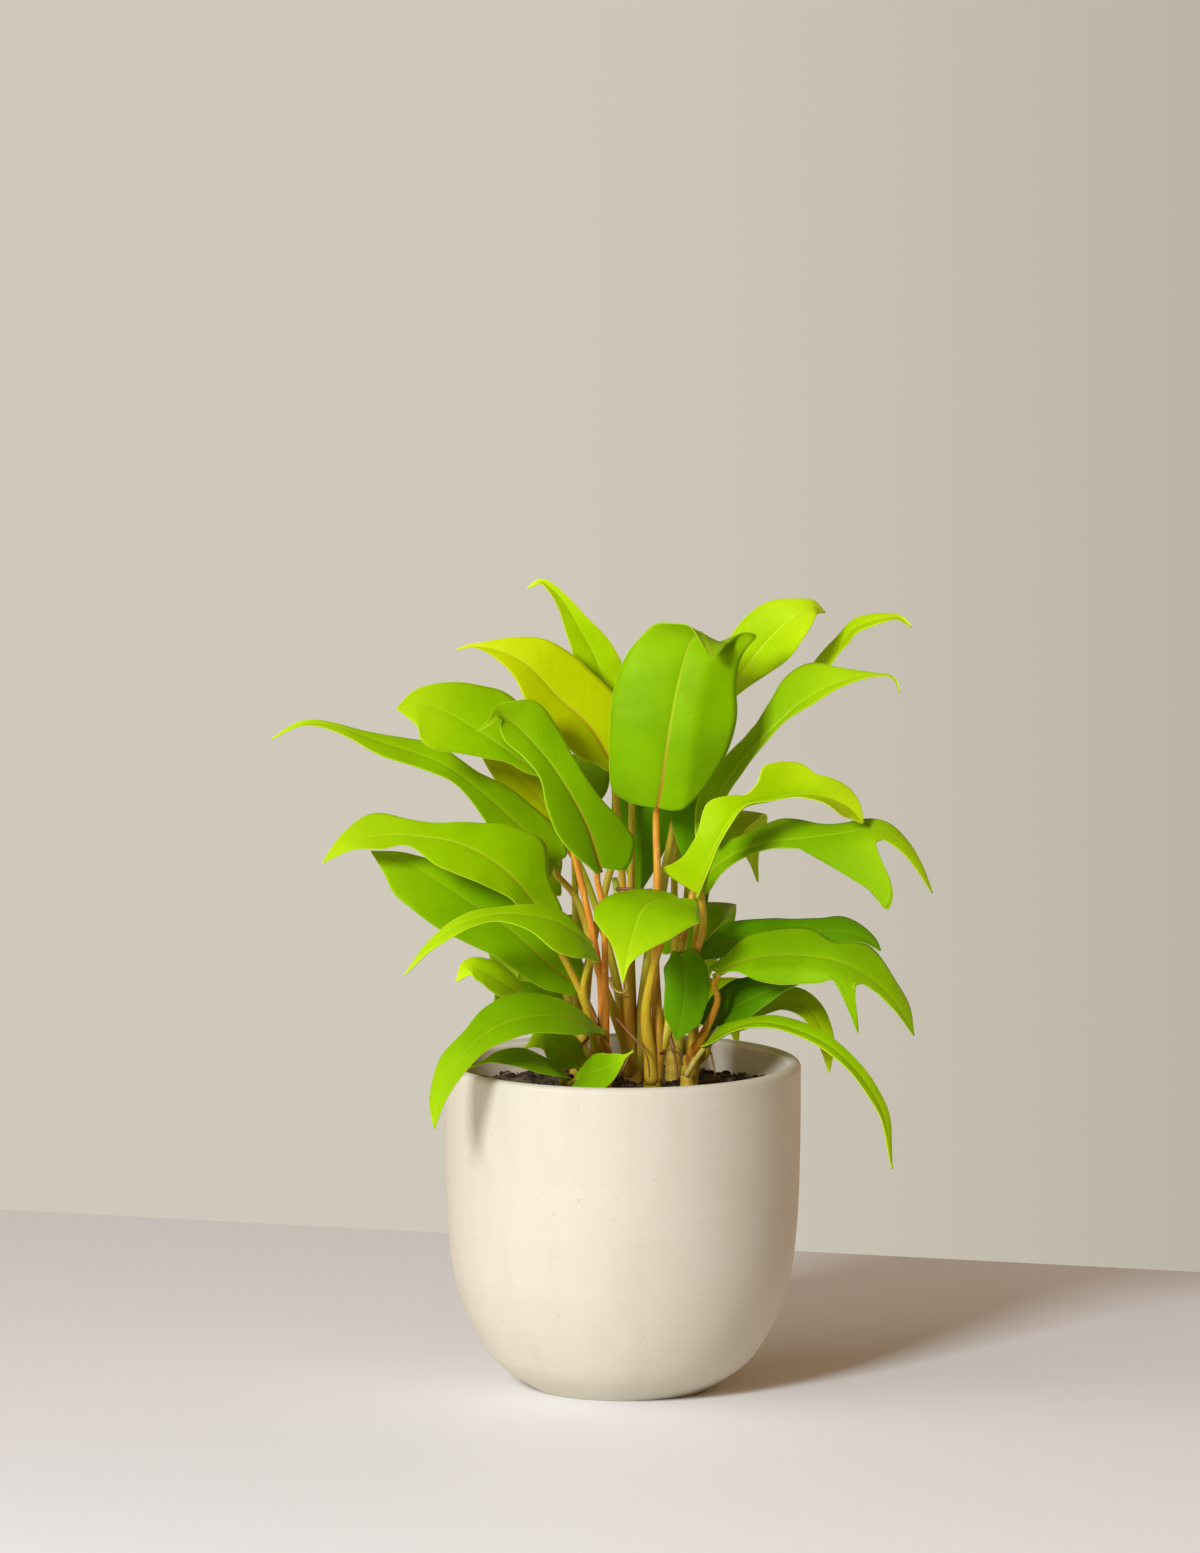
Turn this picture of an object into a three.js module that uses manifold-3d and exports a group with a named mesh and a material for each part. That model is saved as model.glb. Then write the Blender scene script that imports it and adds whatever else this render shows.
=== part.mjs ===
// Potted climbing aroid with lime-green, long-tipped leaves in a round pale pot.
// Millimetres, +Z up, origin at the centre of the pot's flat foot. The best side faces -Y.
import * as THREE from "three";
import { mergeVertices } from "three/addons/utils/BufferGeometryUtils.js";
import Module from "manifold-3d";

const wasm = await Module();
wasm.setup();

// Driving dimensions
const gap = 0.3; // clear space kept between touching pieces
const footRadius = 40.6;
const potWall = 6;
const potFloor = 7;
const lipRadius = potWall / 2;
const lipCentre = 150; // height of the centre of the rounded lip
const soilHeight = 139;
const soilRelief = 1.1; // how far the soil's top rises and falls
const holeFloor = 125;
const stemRadius = 6;
const stemTop = 160;
const bladeThickness = 0.7;
const bladeRows = 12;
const bladeColumns = 2; // on each side of the midrib
const bendScale = 25; // a blade's curl is given in degrees at this distance from the midrib

const material = (color, roughness) =>
  new THREE.MeshStandardMaterial({ color, roughness, metalness: 0 });
const clay = material(0xe6dccb, 0.75);
const earth = material(0x2e231c, 0.95);
const stemGreen = material(0x9a8a2a, 0.5);
const leafTones = {
  lime: material(0x9ccb08, 0.42),
  pale: material(0xb4dc14, 0.42),
  green: material(0x78a804, 0.42),
  amber: material(0xc2cc0c, 0.42),
  deep: material(0x3f6c0a, 0.45),
};

const plant = new THREE.Group();

function addMesh(name, geometry, finish) {
  const mesh = new THREE.Mesh(geometry, finish);
  mesh.name = name;
  plant.add(mesh);
}

// Closed geometry to solid and back
function solidOf(geometry) {
  const bare = geometry.clone();
  bare.deleteAttribute("normal");
  bare.deleteAttribute("uv");
  const merged = mergeVertices(bare, 1e-3);
  return new wasm.Manifold(
    new wasm.Mesh({
      numProp: 3,
      vertProperties: merged.attributes.position.array,
      triVerts: new Uint32Array(merged.index.array),
    }),
  );
}

function geometryOf(solid) {
  const mesh = solid.getMesh();
  return new THREE.BufferGeometry()
    .setAttribute("position", new THREE.BufferAttribute(mesh.vertProperties, 3))
    .setIndex(new THREE.BufferAttribute(mesh.triVerts, 1));
}

const vector = ([x, y, z]) => new THREE.Vector3(x, y, z);

const curveThrough = (points) =>
  new THREE.CatmullRomCurve3(points.map(vector), false, "centripetal");

const smoothStep = (u) => u * u * (3 - 2 * u);

// The value at u from 0 to 1 along a list of numbers, eased from one to the next.
function eased(list, u) {
  if (list.length === 1) return list[0];
  const s = Math.min(1, Math.max(0, u)) * (list.length - 1);
  const k = Math.min(Math.floor(s), list.length - 2);
  return THREE.MathUtils.lerp(list[k], list[k + 1], smoothStep(s - k));
}

// Pot: a lathe-turned bowl foot that rises into a nearly straight wall with a rounded lip
const outerWall = [
  [footRadius, 0],
  [53, 8],
  [59, 13],
  [63.5, 18.5],
  [70, 29.5],
  [74.7, 41],
  [79, 57.5],
  [81.6, 85.5],
  [82.5, 118],
  [82.7, lipCentre],
];
const potSegments = 48;
const potSteps = 12;
const soilSegments = 32;
const soilSteps = 12;
const outerCurve = new THREE.SplineCurve(outerWall.map(([r, z]) => new THREE.Vector2(r, z)));

function innerPoint(u, thickness) {
  const at = outerCurve.getPoint(u);
  const along = outerCurve.getTangent(u);
  return new THREE.Vector2(at.x - along.y * thickness, at.y + along.x * thickness);
}

function innerWall(thickness, floor, top, steps) {
  const points = [];
  for (let i = steps; i >= 0; i--) {
    const point = innerPoint(i / steps, thickness);
    if (point.y > floor + 1 && point.y <= top) points.push(point);
  }
  const last = points[points.length - 1];
  points.push(new THREE.Vector2(last.x - 4, floor), new THREE.Vector2(0, floor));
  return points;
}

function turned(profile, segments) {
  return new THREE.LatheGeometry(profile, segments).rotateX(Math.PI / 2);
}

function pot() {
  const profile = [new THREE.Vector2(0, 0)];
  for (let i = 0; i <= potSteps; i++) profile.push(outerCurve.getPoint(i / potSteps));
  const lipCentreRadius = outerWall[outerWall.length - 1][0] - lipRadius;
  for (const turn of [30, 60, 90, 120, 150, 180]) {
    const angle = THREE.MathUtils.degToRad(turn);
    profile.push(
      new THREE.Vector2(
        lipCentreRadius + lipRadius * Math.cos(angle),
        lipCentre + lipRadius * Math.sin(angle),
      ),
    );
  }
  profile.push(...innerWall(potWall, potFloor, lipCentre - 1, potSteps));
  return turned(profile, potSegments);
}

// Crowns: where each clump of leaf stalks rises from the soil
const crowns = {
  stems_front: [14, -4],
  stems_right: [31, 9],
  stems_left: [-9, -5],
  stems_tall: [5, 18],
  stems_rear: [24, 36],
  stems_rear_left: [-21, 30],
};

// Soil: fills the pot, uneven on top, with a plain round hole for each crown
function soil() {
  const profile = [new THREE.Vector2(0, soilHeight)];
  const wall = innerWall(potWall + gap, potFloor + gap, soilHeight - 6, soilSteps);
  const edge = innerPoint(0.94, potWall + gap).x;
  for (const radius of [14, 28, 42, 56, 68]) profile.push(new THREE.Vector2(radius, soilHeight));
  profile.push(new THREE.Vector2(edge, soilHeight - 2), ...wall);
  const body = turned(profile.reverse(), soilSegments);
  const at = body.attributes.position;
  for (let i = 0; i < at.count; i++) {
    const [x, y, z] = [at.getX(i), at.getY(i), at.getZ(i)];
    if (z < soilHeight - 1) continue;
    at.setZ(i, z + soilRelief * (Math.sin(x / 9 + 1) * Math.cos(y / 11) + Math.sin(y / 7 + x / 17)));
  }
  let solid = solidOf(body);
  for (const [x, y] of Object.values(crowns)) {
    const hole = new THREE.CylinderGeometry(stemRadius + gap, stemRadius + gap, 40, 12)
      .rotateX(Math.PI / 2)
      .translate(x, y, holeFloor + 20);
    solid = solid.subtract(solidOf(hole));
  }
  return geometryOf(solid);
}

// A leaf's midrib with its face directions: T along, N out of the face, R to the right
const ribSteps = 64;

function ribOf({ rib, face }) {
  const curve = curveThrough(rib);
  const points = curve.getSpacedPoints(ribSteps);
  const length = curve.getLength();
  const tangents = points.map((p, i) => {
    const before = points[Math.max(0, i - 1)];
    const after = points[Math.min(ribSteps, i + 1)];
    return after.clone().sub(before).normalize();
  });
  const normals = tangents.map((t, i) => {
    const n = vector([0, 1, 2].map((axis) => eased(face.map((f) => f[axis]), i / ribSteps)));
    n.normalize();
    return n.addScaledVector(t, -n.dot(t)).normalize();
  });
  function frame(a) {
    const s = Math.min(1, Math.max(0, a)) * ribSteps;
    const k = Math.min(Math.floor(s), ribSteps - 1);
    const P = points[k].clone().lerp(points[k + 1], s - k);
    const T = tangents[k].clone().lerp(tangents[k + 1], s - k).normalize();
    const N = normals[k].clone().lerp(normals[k + 1], s - k);
    N.addScaledVector(T, -N.dot(T)).normalize();
    if (a < 0) P.addScaledVector(T, a * length);
    return { P, T, N, R: T.clone().cross(N) };
  }
  return { length, frame };
}

// A point of the blade, out from the midrib: each half folds up at the rib and curls down outside it
function bladePoint(leaf, rib, a, out) {
  const side = out >= 0 ? 1 : -1;
  const finger = leaf.finger;
  if (finger && side > 0 && out > finger.start) {
    const root = bladePoint(leaf, rib, a, finger.start);
    const { T, N, R } = rib.frame(finger.at);
    const lean = THREE.MathUtils.degToRad(finger.lean);
    const drop = THREE.MathUtils.degToRad(-25);
    const reach = out - finger.start;
    return root
      .addScaledVector(R, reach * Math.cos(drop) * Math.cos(lean))
      .addScaledVector(N, reach * Math.sin(drop) * Math.cos(lean))
      .addScaledVector(T, reach * Math.sin(lean));
  }
  const { P, N, R } = rib.frame(a);
  const fold = THREE.MathUtils.degToRad(eased(leaf.fold ?? [12], a));
  const bend = THREE.MathUtils.degToRad(leaf.curl ?? -25) / bendScale;
  const distance = Math.abs(out);
  const end = fold + bend * distance;
  const across = (Math.sin(end) - Math.sin(fold)) / bend;
  const [height, cycles, phase] = leaf.wave ?? [0, 3, 0];
  const turn = 2 * Math.PI * (cycles * a + phase + (side > 0 ? 0.37 : 0));
  const up = (Math.cos(fold) - Math.cos(end)) / bend + height * (distance / 20) ** 2 * Math.sin(turn);
  return P.addScaledVector(R, side * across).addScaledVector(N, up);
}

// The margin of one side, in millimetres along and out from the midrib
const ribHalf = 0.4;

function marginOf(leaf, side, length) {
  const widths = side > 0 ? leaf.right : leaf.left;
  const points = [[0, ribHalf, 0]];
  if (Array.isArray(widths[0])) {
    for (const [a, out] of widths) points.push([a * length, out, 0]);
  } else {
    const lobe = (leaf.lobe ?? [2, 2])[side > 0 ? 1 : 0];
    points.push([-lobe, widths[0] * 0.55, 0], [0.04 * length, widths[0], 0]);
    for (let k = 1; k < widths.length; k++) points.push([(k / widths.length) * length, widths[k], 0]);
  }
  points.push([length, ribHalf, 0]);
  return curveThrough(points);
}

// The blade's mid surface as rows of points from the left margin to the right one
function bladeGrid(leaf, rib) {
  const rows = leaf.rows ?? bladeRows;
  const margins = { "-1": marginOf(leaf, -1, rib.length), 1: marginOf(leaf, 1, rib.length) };
  const grid = [];
  for (let i = 0; i <= rows; i++) {
    const t = i / rows;
    const row = [];
    for (let j = -bladeColumns; j <= bladeColumns; j++) {
      const side = j < 0 ? -1 : 1;
      const share = Math.abs(j) / bladeColumns;
      const edge = margins[side].getPointAt(t);
      const along = t * (1 - share) + (edge.x / rib.length) * share;
      row.push(bladePoint(leaf, rib, along, side * Math.max(edge.y, 0.35) * share));
    }
    grid.push(row);
  }
  return grid;
}

// Both faces of the blade, split alike, with a strip round the edge
function bladeSolid(grid) {
  const rows = grid.length;
  const columns = grid[0].length;
  const id = (i, j) => i * columns + j;
  const flat = grid.flat();
  const faces = [];
  for (let i = 0; i < rows - 1; i++)
    for (let j = 0; j < columns - 1; j++) {
      const [a, b, c, d] = [id(i, j), id(i, j + 1), id(i + 1, j + 1), id(i + 1, j)];
      if (j < bladeColumns) faces.push([a, b, c], [a, c, d]);
      else faces.push([a, b, d], [b, c, d]);
    }
  const normals = flat.map(() => new THREE.Vector3());
  for (const [a, b, c] of faces) {
    const n = flat[b].clone().sub(flat[a]).cross(flat[c].clone().sub(flat[a]));
    for (const k of [a, b, c]) normals[k].add(n);
  }
  const position = [];
  for (const side of [0.5, -0.5])
    flat.forEach((p, k) => {
      position.push(...p.clone().addScaledVector(normals[k].normalize(), side * bladeThickness));
    });
  const under = flat.length;
  const index = [];
  for (const [a, b, c] of faces) index.push(a, b, c, under + a, under + c, under + b);
  const edge = [];
  for (let j = 0; j < columns - 1; j++) edge.push(id(0, j));
  for (let i = 0; i < rows - 1; i++) edge.push(id(i, columns - 1));
  for (let j = columns - 1; j > 0; j--) edge.push(id(rows - 1, j));
  for (let i = rows - 1; i > 0; i--) edge.push(id(i, 0));
  edge.forEach((a, k) => {
    const b = edge[(k + 1) % edge.length];
    index.push(a, under + a, under + b, a, under + b, b);
  });
  return new THREE.BufferGeometry()
    .setAttribute("position", new THREE.Float32BufferAttribute(position, 3))
    .setIndex(index);
}

const stalkSides = 5;

// Leaf stalk: from inside its crown to just under the base of the blade
function stalk([x, y], via, rib, radius) {
  const { P, T, N } = rib.frame(0);
  const arrival = T.clone().multiplyScalar(0.8).addScaledVector(N, 0.6).normalize();
  const end = P.addScaledVector(N, -(bladeThickness / 2 + gap + 0.47 * radius));
  const before = end.clone().addScaledVector(arrival, -7);
  const first = via.length ? vector(via[0]) : before;
  const lean = new THREE.Vector3(first.x - x, first.y - y, 0).clampLength(0, 2.5);
  const start = new THREE.Vector3(x + lean.x * 0.5, y + lean.y * 0.5, 147);
  const leaving = new THREE.Vector3(x + lean.x, y + lean.y, via.length ? 154 : 150);
  const path = new THREE.CatmullRomCurve3(
    [start, leaving, ...via.map(vector), before, end],
    false,
    "centripetal",
  );
  const section = new THREE.Shape();
  for (let i = 0; i < stalkSides; i++) {
    const angle = (i * 2 * Math.PI) / stalkSides;
    section[i ? "lineTo" : "moveTo"](radius * Math.cos(angle), radius * Math.sin(angle));
  }
  const steps = Math.max(5, Math.round(path.getLength() / 18));
  return new THREE.ExtrudeGeometry(section, { steps, bevelEnabled: false, extrudePath: path });
}

// Leaves of the best side, each measured by itself.
// rib: points along the midrib; face: which way the blade looks, base to tip;
// left and right: half widths at even stations, or pairs of share along and width;
// via: points that the stalk passes on its way up from its crown.
const leaves = [
  {
    name: "leaf_front",
    tone: "green",
    crown: "stems_front",
    via: [[16, -4, 173], [15, -9, 208], [16, -16, 240]],
    rib: [[16, -18, 274], [18, -20, 285], [21, -22, 306], [24, -20, 324], [28, -17, 341],
      [32, -17, 352], [36, -21, 356], [39, -27, 352], [41, -31, 345]],
    face: [[-0.05, -1, 0.1], [-0.1, -1, 0.12], [-0.1, -1, 0.15], [-0.12, -1, 0.1], [-0.15, -1, 0],
      [-0.15, -0.5, -0.8], [-0.15, 0.5, -0.8]],
    left: [22, 25, 27, 28.5, 29, 27, 20, 7],
    right: [[0.005, 8], [0.08, 21.5], [0.18, 30], [0.34, 33.5], [0.56, 29.5], [0.68, 30], [0.76, 34],
      [0.84, 22], [0.92, 11], [0.97, 5]],
    finger: { start: 12, at: 0.62, lean: 35 },
    fold: [10, 8, 4],
    curl: -20,
    lobe: [0, 0],
    rows: 18,
  },
  {
    name: "leaf_top_left",
    tone: "amber",
    crown: "stems_tall",
    via: [[2, 14, 200], [-2, 10, 262]],
    rib: [[-5, 8, 291], [-15, 6, 308], [-29, 5, 322], [-45, 6, 338], [-59, 9, 344],
      [-70, 12, 345], [-77, 14, 343]],
    face: [[0.3, -0.9, 0.35], [0.2, -0.9, 0.4], [0, -0.8, 0.6]],
    left: [8, 15, 17, 17, 15, 10.5, 6, 2],
    right: [14, 18, 19, 19, 18.5, 15, 8, 2],
    fold: [22, 18, 12],
    curl: -20,
  },
  {
    name: "leaf_spire",
    tone: "pale",
    crown: "stems_tall",
    via: [[4, 22, 200], [4, 27, 280]],
    rib: [[0, 26, 312], [-8, 28, 326], [-13, 28, 339], [-19, 28, 350], [-26, 28, 362],
      [-33, 28, 370], [-38, 28, 373], [-44, 28, 370]],
    face: [[0.1, -0.9, 0.3], [-0.2, -0.9, 0.4], [-0.1, -0.8, 0.6]],
    left: [8, 9, 10, 10, 8, 6, 4, 2],
    right: [8, 10, 11, 10, 8, 5, 3, 2],
    fold: [20],
  },
  {
    name: "leaf_torch",
    tone: "pale",
    crown: "stems_tall",
    via: [[14, 26, 200], [30, 33, 280]],
    rib: [[46, 32, 317], [57, 32, 332], [69, 30, 347], [80, 28, 357], [88, 30, 361], [94, 33, 358]],
    face: [[-0.2, -0.9, 0.35], [-0.2, -0.9, 0.4], [0, -0.6, 0.8]],
    left: [6, 10, 13, 15, 15.5, 14.5, 11, 5],
    right: [4, 6, 9, 12, 14, 14, 12, 7],
    fold: [15, 10],
    curl: -20,
  },
  {
    name: "leaf_wisp",
    tone: "pale",
    crown: "stems_rear",
    via: [[28, 42, 200], [37, 48, 263], [50, 50, 285], [66, 50, 305]],
    rib: [[86, 50, 322], [97, 47, 336], [103, 43, 344], [108, 40, 350], [115, 38, 353],
      [122, 36, 355], [128, 36, 355], [134, 34, 351]],
    face: [[-0.35, -0.55, 0.8], [-0.2, -0.5, 0.85]],
    left: [4, 5.5, 6, 6, 6, 5, 4, 2],
    right: [4, 5.5, 6, 6, 6, 5, 4, 2],
    fold: [10, 5],
    curl: -15,
  },
  {
    name: "leaf_reaching",
    tone: "lime",
    crown: "stems_front",
    via: [[22, 4, 180], [33, 5, 232]],
    rib: [[38, 4, 257], [43, 6, 274], [55, 8, 292], [68, 8, 306], [83, 6, 320], [100, 0, 330],
      [116, -4, 334], [125, -6, 333], [128, -8, 326]],
    face: [[-0.3, -0.8, 0.45], [-0.35, -0.75, 0.55], [-0.1, -0.5, 0.85]],
    left: [6, 8, 8, 7, 11, 19, 8, 1.5],
    right: [6, 5, 5, 4, 3, 5.5, 4, 1.5],
    fold: [15, 12, 5],
    curl: -35,
  },
  {
    name: "leaf_hooked",
    tone: "pale",
    crown: "stems_front",
    via: [[24, -1, 180], [37, -12, 215]],
    rib: [[34, -26, 235], [37, -30, 245], [42, -32, 257], [48, -30, 268], [56, -26, 276],
      [68, -21, 278], [82, -17, 280], [95, -15, 278], [105, -14, 273], [111, -14, 266]],
    face: [[-0.4, -0.75, 0.5], [-0.4, -0.7, 0.6], [-0.1, -0.7, 0.7], [-0.05, -0.7, 0.7], [0.1, -0.7, 0.7]],
    left: [[0.01, 21], [0.06, 17], [0.13, 12], [0.25, 10], [0.36, 13], [0.42, 8], [0.46, 4.5], [0.51, 8],
      [0.56, 15.5], [0.63, 16.5], [0.7, 14.5], [0.75, 10], [0.8, 9.5], [0.88, 8], [0.95, 4]],
    right: [3, 4, 4, 4, 3.5, 5, 9, 9],
    fold: [18, 30, 42, 42, 10],
    rows: 18,
  },
  {
    name: "leaf_lobed",
    tone: "lime",
    crown: "stems_right",
    via: [[34, 14, 180], [34, 17, 208]],
    rib: [[35, 14, 228], [40, 11, 239], [49, 8, 247], [64, 4, 254], [82, 0, 257], [101, -4, 260],
      [117, -9, 263], [129, -13, 257], [138, -16, 246], [143, -18, 234]],
    face: [[-0.2, -0.75, 0.65], [-0.1, -0.7, 0.7], [0.2, -0.6, 0.75], [0.4, -0.5, 0.7]],
    left: [6, 9, 8.5, 15, 8.5, 7, 6, 2],
    right: [[0.04, 5], [0.25, 4.5], [0.375, 4.5], [0.46, 7], [0.5, 12], [0.515, 18], [0.553, 25.5],
      [0.593, 34], [0.614, 46], [0.661, 40], [0.69, 31], [0.702, 20], [0.71, 9], [0.74, 5.5],
      [0.8, 4.5], [0.92, 3]],
    finger: { start: 8, at: 0.63, lean: 22 },
    fold: [5, -2, -5],
    curl: -30,
    rows: 34,
  },
  {
    name: "leaf_canopy",
    tone: "deep",
    crown: "stems_right",
    via: [[33, 8, 165], [30, 10, 188]],
    rib: [[35, 6, 202], [45, 0, 207], [59, -6, 211], [75, -12, 214], [91, -18, 216], [105, -22, 216],
      [114, -26, 213], [119, -30, 209]],
    face: [[-0.1, -0.6, 0.8], [0, -0.55, 0.85], [0.3, -0.5, 0.8]],
    left: [8, 18, 16, 15, 12, 11, 13, 7],
    right: [6, 8, 10, 10, 10, 12, 12, 6],
    fold: [5, 2],
    curl: -35,
  },
  {
    name: "leaf_broad",
    tone: "green",
    crown: "stems_right",
    via: [[36, -4, 163], [44, -15, 184]],
    rib: [[43, -25, 198], [52, -31, 203], [63, -36, 207], [82, -44, 209], [100, -51, 207],
      [114, -55, 200], [126, -58, 188], [134, -59, 174]],
    face: [[-0.1, -0.6, 0.8], [0.1, -0.6, 0.8], [0.5, -0.55, 0.65]],
    left: [10, 17, 21, 20.5, 12, 18, 11, 8],
    right: [[0.04, 3], [0.12, 6], [0.2, 13], [0.3, 17], [0.4, 17], [0.5, 15], [0.57, 12], [0.605, 16],
      [0.62, 30], [0.635, 36], [0.655, 24], [0.67, 8], [0.75, 5], [0.9, 3]],
    finger: { start: 9, at: 0.61, lean: 38 },
    lobe: [6, 2],
    fold: [4],
    rows: 30,
  },
  {
    name: "leaf_shaded",
    tone: "deep",
    crown: "stems_right",
    via: [],
    rib: [[38, 4, 168], [47, -1, 175], [57, -7, 182], [69, -13, 188], [81, -19, 192]],
    face: [[0.2, -0.7, 0.7], [0.3, -0.8, 0.5]],
    left: [8, 12, 14, 14, 12, 10, 7, 3],
    right: [6, 9, 11, 11, 9, 7, 5, 2],
    fold: [5],
    curl: -30,
  },
  {
    name: "leaf_trailing",
    tone: "lime",
    crown: "stems_right",
    via: [],
    rib: [[38, -4, 162], [50, -14, 170], [63, -26, 175], [79, -38, 174], [96, -48, 167],
      [110, -54, 154], [120, -58, 137], [124, -60, 112]],
    face: [[0, -0.6, 0.8], [0.25, -0.6, 0.7], [0.6, -0.5, 0.5]],
    left: [5, 5, 5, 6, 5, 4, 4, 3],
    right: [4, 4, 4, 4, 4, 4, 4, 2],
    fold: [5],
  },
  {
    name: "leaf_rim_right",
    tone: "pale",
    crown: "stems_right",
    via: [[44, 20, 162]],
    rib: [[60, 30, 171], [69, 24, 177], [79, 16, 179], [88, 10, 174], [93, 6, 165], [95, 3, 156],
      [96, 1, 147]],
    face: [[-0.1, -0.6, 0.8], [0.4, -0.6, 0.6]],
    left: [6, 8, 9, 8, 7, 6, 5, 3],
    right: [6, 8, 9, 8, 7, 6, 5, 3],
    fold: [5],
  },
  {
    name: "leaf_spout",
    tone: "lime",
    crown: "stems_front",
    via: [[11, -12, 180], [22, -24, 222]],
    rib: [[26, -34, 234], [16, -46, 235], [9, -58, 232], [5, -69, 223], [2, -76, 213], [0, -80, 202]],
    face: [[-0.1, -0.35, 0.95], [-0.1, -0.5, 0.9], [0, -0.9, 0.4]],
    left: [15, 21, 25, 28, 26, 19, 9, 2],
    right: [12, 15, 18, 21, 22, 17, 9, 4],
    fold: [8, 5],
    curl: -20,
  },
  {
    name: "leaf_curled",
    tone: "green",
    crown: "stems_left",
    via: [[-8, -12, 190], [-9, -26, 228]],
    rib: [[-10, -34, 248], [-17, -38, 270], [-29, -40, 292], [-40, -38, 306], [-50, -38, 316],
      [-57, -42, 321], [-61, -48, 318], [-67, -50, 314]],
    face: [[0.35, -0.75, 0.55], [0.3, -0.8, 0.5], [0, -0.9, 0.2]],
    left: [8, 14, 18, 16, 10.5, 9.5, 10, 3],
    right: [21, 19, 13, 10.5, 11, 14, 14.5, 3],
    fold: [22, 15, 15],
    curl: -35,
    lobe: [1, 5],
  },
  {
    name: "leaf_plate",
    tone: "lime",
    crown: "stems_left",
    via: [[-10, 0, 190], [-26, -2, 262]],
    rib: [[-36, -14, 288], [-51, -22, 300], [-66, -26, 311], [-79, -28, 319], [-93, -30, 324],
      [-104, -32, 322]],
    face: [[0.05, -0.95, 0.35], [0, -0.95, 0.35]],
    left: [2, 4, 5, 9.5, 13.4, 17.6, 18, 13.4],
    right: [8, 14, 20, 22, 22, 18, 13.5, 7],
    fold: [5],
  },
  {
    name: "leaf_waisted",
    tone: "lime",
    crown: "stems_tall",
    via: [[-10, 12, 190], [-22, 13, 228]],
    rib: [[-31, 10, 244], [-43, 8, 257], [-57, 5, 271], [-67, 3, 280], [-80, 1, 290], [-96, 0, 297],
      [-114, -2, 303], [-132, -4, 310], [-147, -4, 311], [-162, -4, 304]],
    face: [[0.2, -0.7, 0.7], [0.1, -0.7, 0.7], [0, -0.6, 0.8], [0, -0.6, 0.8]],
    left: [20, 20, 12, 7, 8, 9, 5, 2],
    right: [14, 14, 12, 7, 9, 6, 2.5, 2],
    fold: [5],
  },
  {
    name: "leaf_tucked",
    tone: "amber",
    crown: "stems_tall",
    via: [[-6, 25, 200], [-20, 30, 240]],
    rib: [[-27, 26, 255], [-38, 22, 272], [-50, 18, 285], [-64, 15, 298], [-73, 13, 306]],
    face: [[0.2, -0.8, 0.5]],
    left: [8, 12, 14, 14, 12, 10, 7, 3],
    right: [8, 14, 16, 16, 14, 11, 8, 3],
    fold: [5],
    rows: 9,
  },
  {
    name: "leaf_fan",
    tone: "lime",
    crown: "stems_left",
    via: [[-16, -8, 178], [-32, -16, 212]],
    rib: [[-40, -20, 229], [-48, -26, 240], [-61, -30, 252], [-77, -32, 260], [-93, -34, 263],
      [-109, -36, 264], [-125, -40, 261], [-138, -44, 252]],
    face: [[0.15, -0.88, 0.5], [0.1, -0.85, 0.55], [0, -0.7, 0.7]],
    left: [8, 9, 13, 15, 14, 6, 7.5, 4],
    right: [14, 25, 21, 13.5, 8, 8, 12, 6],
    lobe: [3, 14],
    fold: [8, 5],
    rows: 16,
  },
  {
    name: "leaf_skirt",
    tone: "green",
    crown: "stems_left",
    via: [[-14, -2, 172]],
    rib: [[-21, 0, 188], [-36, -6, 201], [-52, -10, 216], [-70, -14, 229], [-89, -17, 242],
      [-103, -19, 250], [-116, -21, 254]],
    face: [[0.25, -0.85, 0.45], [0.15, -0.85, 0.45]],
    left: [8, 12, 14, 16, 18, 19.5, 18.5, 15],
    right: [12, 14, 16, 16, 14, 12, 8, 4],
    fold: [8, 5],
  },
  {
    name: "leaf_drooping",
    tone: "lime",
    crown: "stems_left",
    via: [[-14, -18, 170], [-18, -30, 192]],
    rib: [[-14, -42, 213], [-21, -48, 220], [-30, -53, 226], [-43, -58, 230], [-59, -62, 231],
      [-75, -66, 227], [-89, -68, 217], [-100, -70, 204]],
    face: [[0.15, -0.6, 0.8], [0.1, -0.6, 0.8], [-0.2, -0.6, 0.7]],
    left: [11, 16, 18, 10, 5, 5, 4.5, 2],
    right: [4, 6, 8, 6, 4, 4, 3, 2],
    fold: [5],
    curl: -30,
    lobe: [5, 1],
  },
  {
    name: "leaf_tuft",
    tone: "pale",
    crown: "stems_left",
    via: [[-20, 2, 158], [-36, 9, 170]],
    rib: [[-45, 8, 180], [-54, 2, 188], [-64, -2, 195], [-71, -4, 197], [-77, -6, 191]],
    face: [[0.2, -0.7, 0.7], [0, -0.7, 0.7]],
    left: [5, 7, 8, 8, 8, 7, 6, 3],
    right: [5, 7, 8, 8, 8, 7, 6, 3],
    fold: [5],
    rows: 9,
  },
  {
    name: "leaf_draped",
    tone: "green",
    crown: "stems_left",
    via: [[-7, -15, 160]],
    rib: [[-9, -26, 170], [-21, -38, 178], [-36, -50, 182], [-52, -60, 181], [-68, -70, 173],
      [-78, -78, 160], [-84, -83, 148], [-86, -86, 135]],
    face: [[0.1, -0.6, 0.8], [-0.1, -0.7, 0.7], [-0.5, -0.6, 0.5]],
    left: [3, 8, 12, 11, 10.5, 8, 6.5, 4.5],
    right: [4, 11, 16, 16, 13, 8, 9.5, 6.5],
    fold: [5],
  },
  {
    name: "leaf_rim_left",
    tone: "green",
    crown: "stems_left",
    via: [],
    rib: [[-26, -20, 149], [-36, -34, 157], [-47, -44, 161], [-59, -52, 162], [-70, -58, 159]],
    face: [[0, -0.6, 0.8], [-0.1, -0.7, 0.7]],
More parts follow.
